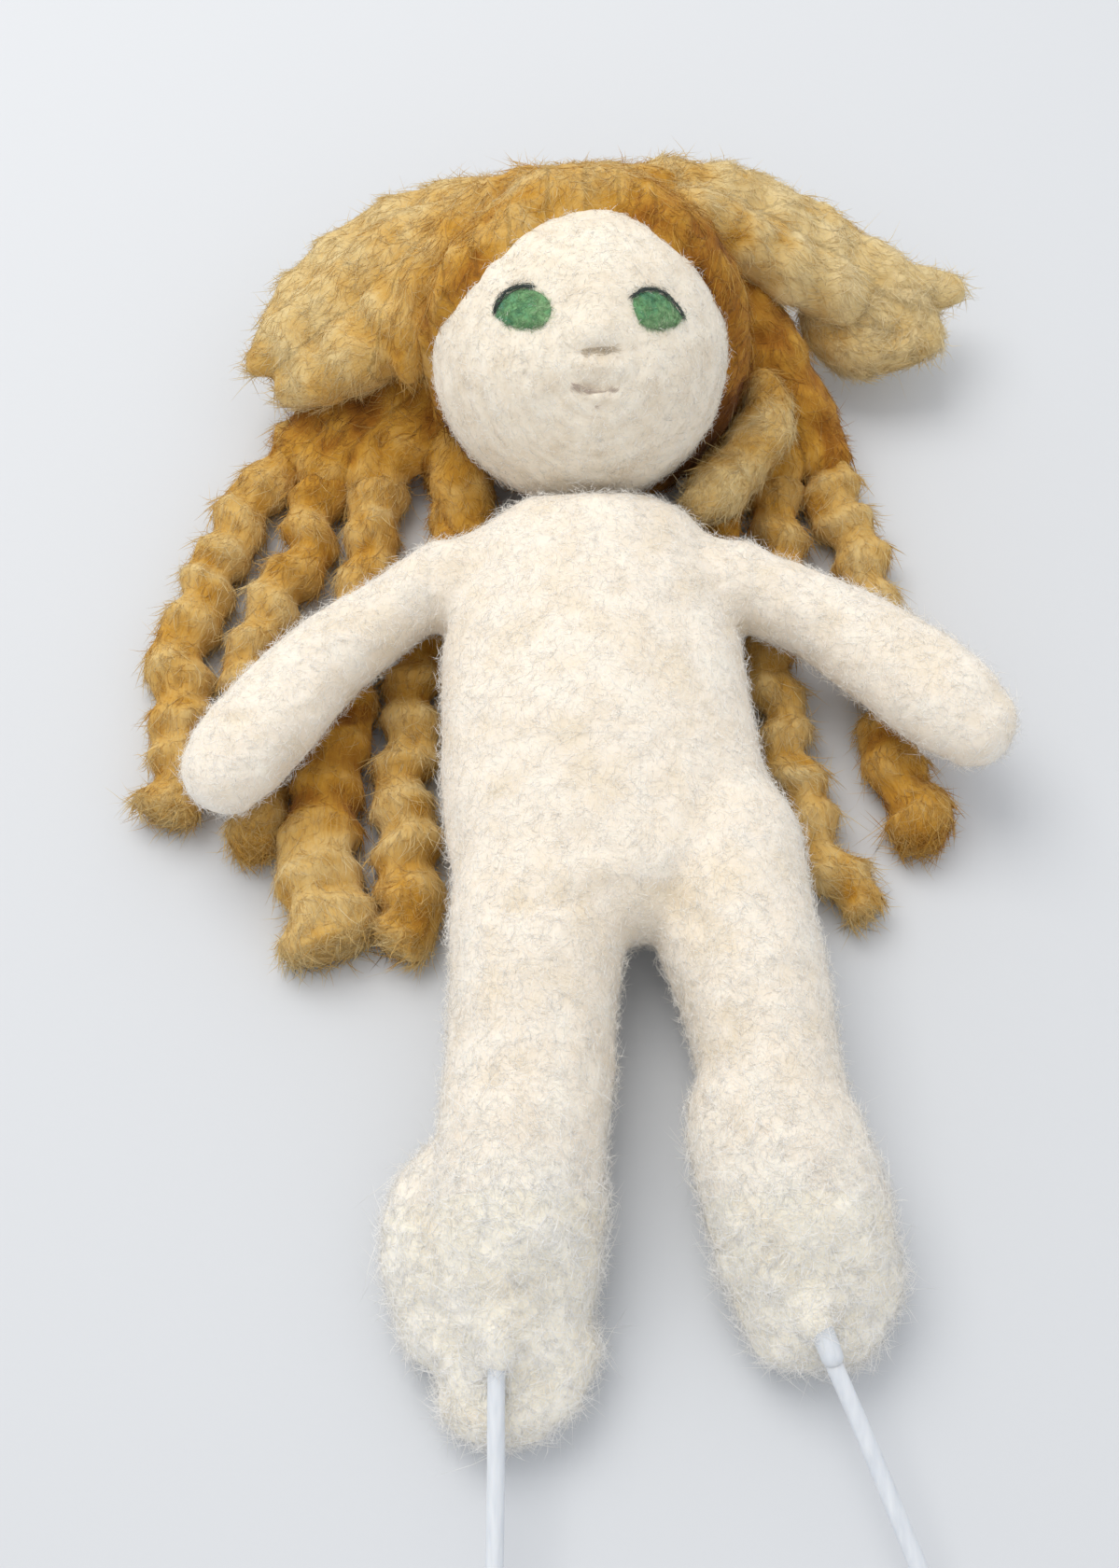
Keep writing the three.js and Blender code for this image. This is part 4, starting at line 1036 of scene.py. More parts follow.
# Outlines and routes on the face, across and up it in millimetres
EYES = {
    "right": [(-11.1, 4.9), (-10.0, 6.9), (-8.1, 8.0), (-5.7, 7.7), (-4.1, 6.2), (-4.2, 4.4), (-6.0, 3.3),
              (-8.9, 3.5)],
    "left": [(6.7, 6.9), (8.4, 7.7), (10.5, 7.3), (12.2, 5.8), (13.1, 4.5), (11.4, 3.4), (8.9, 3.2),
             (7.2, 4.4)],
}
LASHES = {
    "right": [(-11.1, 5.3), (-10.5, 6.6), (-9.3, 7.7), (-7.7, 8.3), (-6.2, 8.2)],
    "left": [(6.4, 7.1), (8.1, 7.9), (10.1, 7.7), (11.9, 6.3), (13.3, 4.4)],
}
LASH_RISE = 0.35
UPPER_LIP = [(-1.3, -3.8), (0.7, -4.6), (2.5, -4.8), (5.0, -4.0)]
LOWER_LIP = [(0.4, -6.0), (2.9, -6.6), (5.8, -5.9)]
NOSE = [(-0.4, 0.7), (2.0, 0.35), (4.4, 0.8)]


# An iris's rings as shares of its outline; the first is sunk deep in the felt
IRIS_RINGS = (1.04, 1.0, 0.93, 0.84, 0.74, 0.62, 0.5, 0.38, 0.26, 0.14)
IRIS_SUNK = -1.3
IRIS_FIBRE = {"length": 1.0, "thick": 0.07}


def build_eye(name, side, rng):
    """An iris: a lens of green felt in the eye's outline, with flat-lying green fibres over it and a few
    beyond its lower edge. A ring at share s of the outline stands 0.42·(1 - s³) - 0.16 millimetres over the
    head."""
    loop = closed_loop(EYES[side], 10)
    middle = loop.mean(axis=0)
    rings = []
    for share in IRIS_RINGS:
        proud = IRIS_SUNK if share > 1 else -0.16 + 0.42 * (1 - share**3.0)
        rings.append(on_ball(middle + (loop - middle) * share, HEAD_RADIUS + proud))
    top = on_ball(middle[None], HEAD_RADIUS + 0.28)[0]
    under = on_ball(middle[None], HEAD_RADIUS - 1.6)[0]
    points, faces = closed_grid(np.array(rings), under, top)
    flat = face_place(points)
    tone = 0.9 * noise(points, 1.3, 21 + len(side)) + 0.5 * noise(points, 0.6, 23)
    tone = tone + (0.12 * (flat[:, 0] - middle[0]) if side == "right" else -0.25 * (flat[:, 1] - middle[1]))
    points = points + point_normals(points, faces) * (0.10 * noise(points, 0.9, 24))[:, None]
    shown = (face_place(points)[:, 2] > 0) & (from_head(points) > HEAD_RADIUS - 0.5)
    hair = fibres(
        rng, points, faces, 900, lift=(0, 18), curl=0.5, share=shown + 1e-9, tone=tone + 0.4, bury=0.05,
        **IRIS_FIBRE,
    )
    down = np.tile(from_face([0, -1, 0.0]) - HEAD_CENTRE, (len(points), 1))
    rim = ((flat[:, 1] < middle[1] - 1.2) & shown) + 1e-9
    bleed = fibres(
        rng, points, faces, 260, lift=(0, 12), flow=down, stray=0.7, curl=0.6, share=rim, tone=tone + 0.5,
        bury=0.02, **IRIS_FIBRE,
    )
    every, groups, tones = together([(points, faces, tone), hair, bleed])
    piece(f"{name}_iris", every, groups, "green", RIDES["head"], "green_wool", (name,), tone=tones)


def strand(rng, route, count, length, thick, spread, proud, stray):
    """Wisps laid along a route on the face. Each starts about `spread` millimetres beside it, runs with it
    apart from a random turn of about `stray`, and stands at most `proud` millimetres over the felt."""
    line = smooth_line(route, 12)
    along = rng.random(count) * (len(line) - 2)
    whole = along.astype(int)
    part = (along - whole)[:, None]
    start = line[whole] * (1 - part) + line[whole + 1] * part
    way = unit(line[whole + 1] - line[whole])
    way = unit(way + rng.normal(size=way.shape) * stray)
    side = np.stack([-way[:, 1], way[:, 0]], axis=1)
    start = start + side * rng.normal(size=(count, 1)) * spread
    reach = length * (0.5 + rng.random(count))
    bend = rng.normal(size=count) * 0.15
    t = np.linspace(0, 1, 4)
    flat = start[:, None] + way[:, None] * (reach[:, None] * (t - 0.5))[..., None]
    flat = flat + side[:, None] * ((bend * reach)[:, None] * (t - 0.5) ** 2 * 2)[..., None]
    height = proud * rng.random(count)[:, None] + 0 * t
    out = np.sqrt(np.maximum(HEAD_RADIUS**2 - (flat**2).sum(axis=2), 1))
    scale = (HEAD_RADIUS + height) / HEAD_RADIUS
    places = from_face(np.concatenate([flat, out[..., None]], axis=2) * scale[..., None])
    made, groups = spindles(places, places[:, 0] - HEAD_CENTRE, thick / 2 * np.array([1.0, 0.9]))
    return made, groups, np.repeat(rng.normal(size=count) * 0.4, 8)


def face_strand(name, sets, look, slot, replaced):
    """Several strands as one piece on the head."""
    points, faces, tones = together(sets)
    piece(name, points, faces, look, RIDES["head"], slot, replaced, tone=tones)


# Hair


def comb_places(points, lines):
    """Where points are along and across the nearest of several lines, that line's direction there, its
    number, and which row of all the lines' rows it is."""
    framed = [line_frames(line) for line in lines]
    rows = np.vstack([line[:, :3] for line in lines])
    ways, sides, ups = (np.vstack([f[k] for f in framed]) for k in range(3))
    places = np.concatenate([arc_length(line[:, :3]) for line in lines])
    numbers = np.concatenate([np.full(len(line), k) for k, line in enumerate(lines)])
    found, _ = nearest_on(points, rows)
    rel = points - rows[found]
    along = places[found] + np.sum(rel * ways[found], axis=1)
    across = np.sum(rel * sides[found], axis=1)
    above = np.sum(rel * ups[found], axis=1)
    return along, across, above, ways[found], numbers[found], found


# Millimetres: the mean length of the curly fuzz on hair, a wisp's width, and how low hair and wisps may lie
HAIR_FUZZ = 1.4
WISP_WIDTH = 0.1
HAIR_FLOOR = 0.3
WISP_FLOOR = 0.15


def wisps(rng, name, points, faces, tone, flow, count, length, rides, share):
    """Two coats of wool on hair as one piece: fine fibres that lie along the flow, and a short curly
    fuzz."""
    # Tones raised by 0.1 and 0.25: painted light in place of light passing through thin fibres
    combed = fibres(
        rng, points, faces, int(count * 0.95), length, WISP_WIDTH * 1.2, (0, 9), flow=flow, stray=0.4,
        curl=0.5, segments=3, share=share, tone=tone + 0.1, spread=0.25, bury=0.03,
    )
    fuzz = fibres(
        rng, points, faces, int(count * 1.4), HAIR_FUZZ, WISP_WIDTH * 0.8, (5, 60), flow=flow, stray=1.1,
        curl=1.1, share=share, tone=tone + 0.25, spread=0.3, bury=0.1,
    )
    every, groups, tones = together([combed, fuzz])
    every[:, 2] = np.maximum(every[:, 2], WISP_FLOOR)
    piece(name, every, groups, "wisps", rides, "golden_wool", tone=tones)


# A mass of hair: the crimp's length, sway and swell, and the cubes and rounds that felt its hanks together
CRIMP = {"bead": 9.0, "sway": 0.4, "swell": 0.05}
HAIR_VOXEL = 0.62
HAIR_ROUNDS = 24
WAVE = 0.9


def build_hair(name, rng, hanks, base, settings, amount, extra=(), combing=(), lump=0.6, keep_out=None):
    """A mass of combed wool: crimped hanks felted together, with lumps, and combed ridges that follow the
    nearest hank. A ridge's height is noise that is long along the hank and narrow across it, where the
    place across also waves as the sine of the place along. The tone paints shade into the relief: crests
    are painted lighter, and valleys and the necks of the crimp darker."""
    made = [crimped(h, seed=3 * k + len(name), **CRIMP) for k, h in enumerate(hanks)]
    lines = [line for line, _ in made] + list(combing)
    turns = 2 * np.pi / CRIMP["bead"]
    phases = np.concatenate([phase for _, phase in made] + [turns * arc_length(c[:, :3]) for c in combing])
    skins = [tube(line, 24) for line, _ in made] + list(extra)
    points, faces = felted_together(skins, HAIR_VOXEL, HAIR_ROUNDS)
    normals = point_normals(points, faces)
    along, across, above, way, number, found = comb_places(points, lines)
    waving = 2 * np.pi * along / CRIMP["bead"] + number * 2.1 + 2 * noise(points, 9, 31)
    sway = WAVE * np.sin(waving)
    comb = np.stack([along + number * 37, across + sway, above + 0.6 * sway], axis=1)
    coarse = noise(comb, np.array([12, 3.6, 3.6]), 32)
    fine = noise(comb, np.array([8, 1.5, 1.5]), 33)
    cloud = noise(points, 6, 34)
    tufted = noise(points, 2.8, 35)
    points = points + normals * (lump * cloud + 0.38 * tufted + 0.35 * coarse + 0.16 * fine)[:, None]
    if keep_out is not None:
        points = keep_out(points)
    points[:, 2] = np.maximum(points[:, 2], HAIR_FLOOR)
    patches = eased(noise(points, 7, 36), 0.05, 0.45)
    # Painted shade after the relief: lighter on crests and crimp beads, darker in valleys and necks
    relief_shade = 0.15 * np.cos(phases[found]) + 0.3 * coarse + 0.2 * fine + 0.25 * tufted
    tone = base(points) + relief_shade - 0.5 * patches
    shown = eased(from_head(points), HEAD_RADIUS + 0.4, HEAD_RADIUS + 1.4) + 1e-9
    slope = WAVE * 2 * np.pi / CRIMP["bead"] * np.cos(waving)
    flow = unit(way - slope[:, None] * np.cross(normals, way))
    head = RIDES["head"]
    piece(f"{name}_wool", points, faces, "gold", head, "golden_wool", (name,), tone=tone, comb=comb)
    count = int(settings.hair_fibres * amount)
    length = settings.hair_length / MM
    wisps(rng, f"{name}_wisps", points, faces, tone, flow, count, length, head, share=shown)


# Degrees round the face from the doll's left, and degrees from the face's middle where the hair starts
HAIRLINE = [
    (-180, 80), (-160, 92), (-120, 100), (-90, 104), (-60, 100), (-30, 92), (0, 84), (18, 74), (38, 66),
    (58, 63), (76, 68), (88, 65), (100, 61), (118, 55), (134, 52), (150, 54), (163, 58), (180, 80),
]


# Millimetres: the cap's thickness, how much less it is under the tufts, how deep its skin lies in the head
# and at the nape, and the radius of its combing lines
CAP_THICK = 4.2
CAP_THINNER = 1.6
CAP_DEPTH = 0.4
NAPE_DEPTH = 1.6
CAP_COMBING = 24.5


def cap_surface(rings=150, sides=190):
    """The hair on the back of the head as one closed ball: where hair grows it stands proud of the head,
    with a rounded edge at the hairline, and on the face it stays hidden inside the head. Thickness grows as
    the square root of the eased angle from the hairline, and eases to nothing at the nape."""
    every = ball_directions(rings, sides)
    flat = face_place(HEAD_CENTRE + every)
    around = np.degrees(np.arctan2(flat[:, 1], flat[:, 0]))
    from_middle = np.degrees(np.arccos(np.clip(flat[:, 2], -1, 1)))
    line = np.array(HAIRLINE, float)
    start = np.interp(around, line[:, 0], line[:, 1])
    inside = from_middle - start
    under_tuft = eased(np.abs(around), 100, 125)
    thick = (CAP_THICK - CAP_THINNER * under_tuft) * np.sqrt(eased(inside, -1, 16))
    thick = thick + eased(every[:, 1], 0.4, 0.9)
    nape = eased(HEAD_CENTRE[1] + every[:, 1] * 24, 40, 47)
    skin = HEAD_RADIUS - CAP_DEPTH
    reach = np.where(inside > -1, skin + thick * nape, skin - 1.2 * eased(-inside, 1, 5))
    reach = np.where(nape < 0.05, HEAD_RADIUS - NAPE_DEPTH, reach)
    points = HEAD_CENTRE + every * reach[:, None]
    points[:, 2] = np.maximum(points[:, 2], HAIR_FLOOR)
    return ball_skin(points, rings, sides)


def cap_lines():
    """Combing lines over the back of the head: from the crown down its meridians to the nape."""
    lines = []
    for turn in np.radians(np.arange(-100, 281, 14)):
        beta = np.radians(np.linspace(12, 150, 30))
        side = np.array([math.cos(turn), 0, math.sin(turn)])
        ring = np.cos(beta)[:, None] * [0, 1.0, 0] + np.sin(beta)[:, None] * side
        ring = HEAD_CENTRE + CAP_COMBING * ring
        lines.append(np.hstack([ring, np.ones((30, 2))]))
    return lines


# Hanks of each mass of hair, as stations of x, y, z, half width and half depth in millimetres
TUFTS = {
    "hair_cap": [
        [(-15, 76.0, 24.5, 5.2, 5), (-8, 79.6, 26, 6.0, 5.6), (1, 81.4, 26.5, 6.2, 5.8),
         (9, 81, 26.5, 6.0, 5.6), (15, 78.5, 25.5, 5.2, 5)],
        [(-10, 75.5, 32, 3.0, 2.8), (-3, 77.8, 33, 3.2, 2.8), (5, 77.5, 33.5, 3.0, 2.8),
         (11, 74.5, 33.5, 2.6, 2.4)],
    ],
    "right_tuft": [
        [(-7, 79.5, 26, 5.5, 5), (-18, 82, 23, 6.6, 5.6), (-29, 80, 19.5, 6.8, 5.4),
         (-38, 76, 16.5, 5.6, 4.4), (-44.5, 70, 14.5, 3.4, 2.6)],
        [(-10, 74, 31, 4.8, 4.4), (-19, 75.5, 26.5, 6.2, 5.4), (-30, 72, 21, 6.8, 5.4),
         (-40, 67.5, 16.5, 5.8, 4.2), (-48, 64.5, 13.5, 2.8, 2.0)],
        [(-14.5, 68, 31, 4.4, 4.2), (-21, 67.5, 26, 5.6, 5), (-29.0, 64, 20, 6.2, 5),
         (-36.5, 61.2, 15.5, 5.4, 4), (-42.5, 60.8, 12.5, 3.2, 2.4)],
        [(-8, 77.8, 34, 3.2, 2.8), (-14.5, 73.2, 33.8, 3.6, 3.2), (-20, 67.0, 30.6, 3.8, 3.4),
         (-23.5, 61, 26, 3.4, 3.0), (-25, 56.5, 21.5, 2.4, 2.4)],
    ],
    "left_tuft": [
        [(5, 80.5, 27, 5.5, 5), (15, 84, 24.5, 6.8, 5.8), (25, 84, 20.5, 6.6, 5.4),
         (34, 82, 17.5, 6, 4.6), (43, 79, 15, 4.8, 3.6), (50, 78.8, 13, 3.6, 2.8),
         (54, 79, 12.4, 2.9, 2.2)],
        [(9, 75.5, 32, 3.6, 3.6), (15.5, 76.5, 28.5, 4.2, 4.2), (23, 77, 23.5, 4.6, 4.4),
         (31, 75.5, 18.5, 4.8, 4.2), (38, 74.5, 15.5, 4.4, 3.6)],
        [(12, 82, 29, 3, 2.8), (20, 86.5, 25, 3.4, 3), (29, 87, 20.5, 3.2, 2.8), (38, 84, 17, 2.8, 2.6)],
    ],
    "left_tuft_curl": [
        [(36.5, 77, 14.5, 3.6, 3.4), (35.0, 73.2, 11.8, 3.8, 3.6), (38, 71, 10.2, 4.4, 4.2),
         (43, 70.8, 9.8, 4.6, 4.2), (47, 72, 10.2, 4.0, 3.2), (50, 75.5, 11, 2.6, 2.2)],
        [(38, 75, 13.5, 4.6, 3.8), (42.5, 74, 12.5, 5, 3.8), (47.5, 73.5, 11.5, 3.6, 2.8)],
        [(41, 79, 14.5, 4.4, 3.6), (46.5, 76, 12.5, 4.6, 3.6), (49, 71, 11, 3.2, 2.8)],
    ],
    "right_back_hair": [
        [(-22, 68, 13, 6, 5.5), (-31.5, 65, 9, 5.4, 5.2), (-38.5, 59.5, 6.2, 4.6, 4.4),
         (-42.2, 55.5, 5, 3.6, 3.4)],
        [(-19, 66, 12, 6, 6), (-28.5, 61, 8.4, 6.4, 5.4), (-35.0, 56, 6, 5.2, 4.4),
         (-38.0, 51, 4.8, 4.2, 3.6)],
        [(-17, 62, 10, 5.5, 5.5), (-24.5, 57.5, 7.4, 6, 5.2), (-29.6, 53, 5.4, 5.0, 4.2),
         (-31.0, 49, 4.4, 4.2, 3.6)],
        [(-14, 58, 9, 5, 5), (-17.2, 51.5, 7.2, 4.8, 4.8), (-17.6, 45, 5.6, 4.2, 4),
         (-16.6, 39.6, 4.6, 3.4, 3.4)],
    ],
    "left_back_hair": [
        [(20, 73.5, 16, 5.8, 6), (25.6, 67, 11.5, 6.0, 6), (31.0, 60, 7.2, 5.2, 5.0),
         (34.4, 53.5, 4.8, 4.0, 3.6)],
        [(16, 67, 12, 5.5, 6), (22, 61.5, 8.8, 5.6, 5.4), (25.8, 55.5, 6, 4.8, 4.4),
         (27.2, 50, 4.6, 3.8, 3.5)],
        [(13.5, 60, 9.5, 5, 5), (17.4, 54, 7.6, 4.8, 4.8), (19.2, 47.5, 6, 4.2, 4.0),
         (18.4, 41, 5, 3.4, 3.4)],
    ],
    "left_cheek_lock": [
        [(24.8, 58.5, 14.8, 2.6, 2.6), (25.0, 55.5, 14.0, 3.7, 3.6), (24.4, 51.8, 13.6, 4.2, 3.9),
         (22.6, 48.5, 13.6, 3.2, 3.2)],
        [(22.6, 49, 12.8, 3.0, 3.0), (20.8, 45, 13.4, 3.9, 3.7), (18.2, 41.5, 13.8, 4.2, 3.9),
         (15.4, 39.0, 14, 2.8, 2.8)],
    ],
}


# How many wisps each mass of hair has, as shares of a whole tuft's, and how lumpy the cap is
CAP_SHARE = 1.5
CAP_LUMP = 0.3
HAIR_SHARES = {
    "right_tuft": 1.1,
    "left_tuft": 0.9,
    "left_tuft_curl": 0.5,
    "right_back_hair": 0.6,
    "left_back_hair": 0.5,
    "left_cheek_lock": 0.4,
}


# How deep hair may lie in the head's felt, in millimetres
HAIR_SUNK = 0.6


def out_of_head(points):
    """Points that would sink into the head are brought up to its felt."""
    away = points - HEAD_CENTRE
    far = np.linalg.norm(away, axis=1, keepdims=True)
    skin = HEAD_RADIUS - HAIR_SUNK
    return np.where(far < skin, HEAD_CENTRE + away / far * skin, points)


# The locks' routes in x and y, from root to end, at one height over the floor
LOCK_Z = 3.55
LOCKS = {
    "right_lock_1": [(-37.5, 62), (-43.2, 55.4), (-49.2, 44.4), (-54.1, 29.8), (-56.3, 20.7),
                     (-55.7, 11.9), (-54.2, 4.7), (-56.4, -4)],
    "right_lock_2": [(-34, 60), (-38.1, 54), (-38.9, 45.6), (-40, 37.6), (-43.5, 29.8), (-46.2, 23.7),
                     (-45.6, 9), (-43.8, -3.6), (-43, -9.5)],
    "right_lock_3": [(-27, 60), (-29.9, 54), (-30.6, 42.4), (-30.9, 34.4), (-31.7, 23.7), (-33.1, 13.3),
                     (-34.9, 1.9), (-35.8, -7.6), (-34.8, -15), (-32.0, -23.0)],
    "right_lock_4": [(-19, 56), (-19.5, 49), (-18.6, 42), (-20, 32.9), (-23.2, 20.7), (-24.1, 10.4),
                     (-24.9, -0.8), (-23.4, -11.6), (-24.0, -18), (-26.6, -21.5)],
    "left_lock_1": [(31, 60), (34.2, 52.2), (36.4, 44), (38.8, 36), (40.8, 20.7), (40.8, 3), (43.4, -3.6),
                    (43.6, -8.5)],
    "left_lock_2": [(23, 57), (26.9, 49.5), (27.4, 40.8), (25.9, 29.8), (25, 19.2), (26.1, 9), (28, -0.8),
                    (31.1, -10.3), (35.6, -17.6)],
}
# Width at the top, middle and end as shares of the usual one, how strong the crimp is, and a seed
LOCK_CHARACTER = {
    "right_lock_1": ((1.0, 1.08, 1.2), 0.9, 5),
    "right_lock_2": ((1.15, 1.0, 1.05), 1.0, 6),
    "right_lock_3": ((1.25, 1.05, 1.85), 0.6, 7),
    "right_lock_4": ((1.1, 1.0, 1.3), 1.0, 8),
    "left_lock_1": ((1.2, 1.0, 1.25), 0.8, 9),
    "left_lock_2": ((1.1, 0.95, 0.9), 1.1, 10),
}
# Tone at heights up the doll, from the end of each lock to its root: partly the wool's own orange patches,
# partly painted shade where locks lie under the arms and the left hand, and at their roots under the hair
LOCK_TONES_AND_SHADE = {
    "right_lock_1": [(-5, 0.15), (2, -0.05), (8, 0.1), (24, -0.1), (30, 0.15), (42, 0.05), (52, -0.15),
                     (60, -0.5)],
    "right_lock_2": [(-10, -0.2), (10, 0.1), (30, 0.25), (36, -0.6), (42, 0.15), (48, -0.7), (60, -0.6)],
    "right_lock_3": [(-24, 0.3), (-9, 0.25), (-4, -0.6), (12, -0.65), (25, 0.05), (44, 0.1), (52, -0.4),
                     (60, -0.7)],
    "right_lock_4": [(-21, 0.0), (-12, -0.1), (-6, 0.2), (10, 0.15), (16, -0.35), (33, -0.1), (42, -0.4),
                     (56, -0.8)],
    "left_lock_1": [(-9, -0.4), (3, -0.45), (20, 0.0), (36, 0.2), (48, 0.05), (60, -0.6)],
    "left_lock_2": [(-18, 0.1), (9, 0.2), (19, -0.1), (28, -0.5), (40, 0.0), (48, -0.2), (57, -0.7)],
}
LOCK_RADIUS = 3.55
LOCK_BEAD = 6.8
# A lock's rows in millimetres and its points round, how far it sways, and the length of a usual one
LOCK_PITCH = 0.42
LOCK_SIDES = 44
LOCK_SWAY = 0.7
LOCK_LENGTH = 85
LOCK_RIDES = ("torso", "head", (0, 28, LOCK_Z), (0, 47, LOCK_Z))


def build_lock(name, rng, settings):
    """A crimped lock: a round profile along a wavy line. Its radius swells and narrows as the cosine of a
    phase that turns once in each bead's length, its line sways as the sine of half that phase, a slanted
    wave of the same length, soft lumps and fine strands stand on it. Its tone is painted shade after this
    relief: the swollen middles and raised lumps are painted light, the narrow necks and hollows orange-brown."""
    shares, crimp, seed = LOCK_CHARACTER[name]
    route = np.array([(x, y, LOCK_Z) for x, y in LOCKS[name]])
    line = even_line(smooth_line(route, 14), LOCK_PITCH)
    along = arc_length(line)
    total = along[-1]
    part = along / total
    way, side, up = line_frames(line)
    on_line = np.stack([along, 0 * along, 0 * along], axis=1)
    phase = 2 * np.pi * (along + 2.2 * noise(on_line, 16, seed)) / LOCK_BEAD + seed
    middle = line + side * (LOCK_SWAY * crimp * np.sin(phase / 2))[:, None]
    swell = 0.5 + 0.5 * np.cos(phase)
    width = np.interp(part, [0, 0.5, 1], shares) * LOCK_RADIUS
    width = width * (0.89 + 0.15 * crimp * swell + 0.08 * noise(on_line, 6, seed + 40))
    width = width * np.sqrt(np.clip(1 - (2 * part - 1) ** 36, 0, 1)) + 0.02
    depth = np.minimum(width * 0.97, LOCK_Z + 1.2)
    v = np.linspace(0, 2 * np.pi, LOCK_SIDES, endpoint=False)
    a, b = np.meshgrid(along, v, indexing="ij")
    comb = np.stack([a.ravel(), LOCK_RADIUS * np.cos(b).ravel(), LOCK_RADIUS * np.sin(b).ravel()], axis=1)
    comb[:, 1] += 0.5 * np.repeat(np.sin(phase / 2), LOCK_SIDES)
    ridges = noise(comb, np.array([2.4, 5.0, 5.0]), seed + 50).reshape(a.shape)
    fine = noise(comb, np.array([6.0, 1.2, 1.2]), seed + 60).reshape(a.shape)
    lumps = noise(comb, np.array([4.4, 3.6, 3.6]), seed + 70).reshape(a.shape)
    tufted = noise(comb, np.array([2.4, 2.2, 2.2]), seed + 72).reshape(a.shape)
    uneven = noise(comb, 6, seed + 75).reshape(a.shape)
    slanted = np.cos(phase[:, None] + 0.9 * np.sin(v + seed)[None] + 0.8 * uneven)
    height = 0.2 * ridges + 0.15 * fine + 0.45 * lumps + 0.28 * tufted + 0.3 * crimp * slanted
    height = height * np.clip(width / 3, 0, 1.6)[:, None]
    radius_w = width[:, None] + height
    radius_d = depth[:, None] + height
    rings = (
        middle[:, None]
        + (np.cos(v)[None] * radius_w)[..., None] * side[:, None]
        + (np.sin(v)[None] * radius_d)[..., None] * up[:, None]
    )
    rings[..., 2] = np.maximum(rings[..., 2], HAIR_FLOOR)
    points, faces = closed_grid(rings, middle[0] - way[0] * 0.2, middle[-1] + way[-1] * 0.2)
    patches = eased(noise(comb, 5, seed + 80), 0.05, 0.5).reshape(a.shape)
    # Painted shade under the arms, the left hand and the hair at the roots, with the wool's own patches
    heights, tones = np.transpose(LOCK_TONES_AND_SHADE[name])
    # Painted shade after the relief: the slanted wave, ridges, lumps and tufts that raise the skin lighten it
    tone = np.interp(line[:, 1], heights, tones)[:, None] + 0.2 * slanted * crimp
    tone = tone + 0.05 - 0.5 * patches + 0.15 * ridges + 0.15 * fine + 0.25 * lumps + 0.2 * tufted
    tone = np.concatenate([tone.ravel(), [tones[-1], tones[0]]])
    comb = np.vstack([comb, comb[:1], comb[-1:]])
    flow = unit(way + 0.3 * side * np.cos(phase / 2)[:, None] * crimp)
    flow = np.vstack([np.repeat(flow, LOCK_SIDES, axis=0), way[:1], way[-1:]])
    count = int(settings.lock_fibres * total / LOCK_LENGTH)
    ends = np.concatenate([np.repeat(1 + eased(part, 0.85, 1.0), LOCK_SIDES), [1, 2]])
    halves = (f"{name}_upper", f"{name}_lower")
    piece(f"{name}_wool", points, faces, "gold", LOCK_RIDES, "golden_wool", halves, tone=tone, comb=comb)
    length = settings.hair_length / MM
    wisps(rng, f"{name}_wisps", points, faces, tone, flow, count, length, LOCK_RIDES, share=ends)


def hair_tone_and_shade(name):
    """The base tone of each mass of hair: lighter away from the head, painted light on the doll's left side,
    and painted shade near the neck, beside the face and under the tufts, over the back hair's darker wool."""

    def tuft(p):
        near = from_head(p)
        left = eased(p[:, 0], 8, 34)
        # `left` is painted light on the doll's left side; the spot darkens the left curl's hollow,
        # partly the wool's orange and partly painted shade; the last term is painted shade on the low
        # undersides
        light = 0.35 * eased(near, 22, 30) + 0.45 * eased(near, 25, 44) + 0.3 * left
        return light - 0.15 - 0.65 * spot(p, (36, 72, 12), 5.0) - 0.25 * eased(-p[:, 2], -13, -4)

    def deep(p):
        # Darker wool with painted shade: darkest near the head, lighter lower down the doll, darker by the
        # floor
        return -0.8 + 0.6 * eased(-p[:, 1], -60, -48) - 0.2 * eased(-p[:, 2], -12, -4)

    def cap(p):
        flat = face_place(p)
        around = np.degrees(np.arctan2(flat[:, 1], flat[:, 0]))
        # Painted shade: `left` and `right` darken the cap beside the face, `low` its lower sides towards the
        # neck,
        # and `edge` the band along the head's felt at the hairline; the cap is a little lighter towards the
        # crown
        left = 1 - eased(np.abs(around - 8), 48, 78)
        right = 1 - eased(np.abs(around - 165), 20, 50)
        low = eased(-flat[:, 1], 0, 10)
        edge = 1 - eased(from_head(p), 21, 24)
        return 0.1 + 0.2 * eased(p[:, 1], 66, 84) - 0.85 * left - 0.45 * right - 0.9 * low - 0.3 * edge

    def cheek(p):
        # Painted shade at the root under the cap and in the neck between the lock's two lobes
        return 0.5 - 1.1 * eased(p[:, 1], 54, 61) - 0.5 * np.exp(-(((p[:, 1] - 47.5) / 2.2) ** 2))

    tones = {"hair_cap": cap, "right_back_hair": deep, "left_back_hair": deep, "left_cheek_lock": cheek}
    return tones.get(name, tuft)


# Armature


SHIN_WIRES = {
    # the middle of each shin's wire, from the knee through the foot to its bare tip
    "right": [(-7.9, -43, 9.7), (-8.8, -57, 10.5), (-10.8, -71.8, 11.0), (-10.9, -87.3, 9.2),
              (-11.0, -102.8, 7.5)],
    "left": [(20.8, -42.6, 9.7), (23.1, -56.4, 10.5), (23.9, -67.2, 11.0), (29.4, -81.6, 9.2),
             (34.9, -96.1, 7.5)],
}
LEFT_SLEEVE = [(24.2, -66.5, 11.3, 1.2, 1.2), (25.0, -70.0, 11.1, 1.35, 1.35),
               (26.2, -73.6, 10.75, 1.3, 1.3)]
WIRE_RADIUS = 1.0


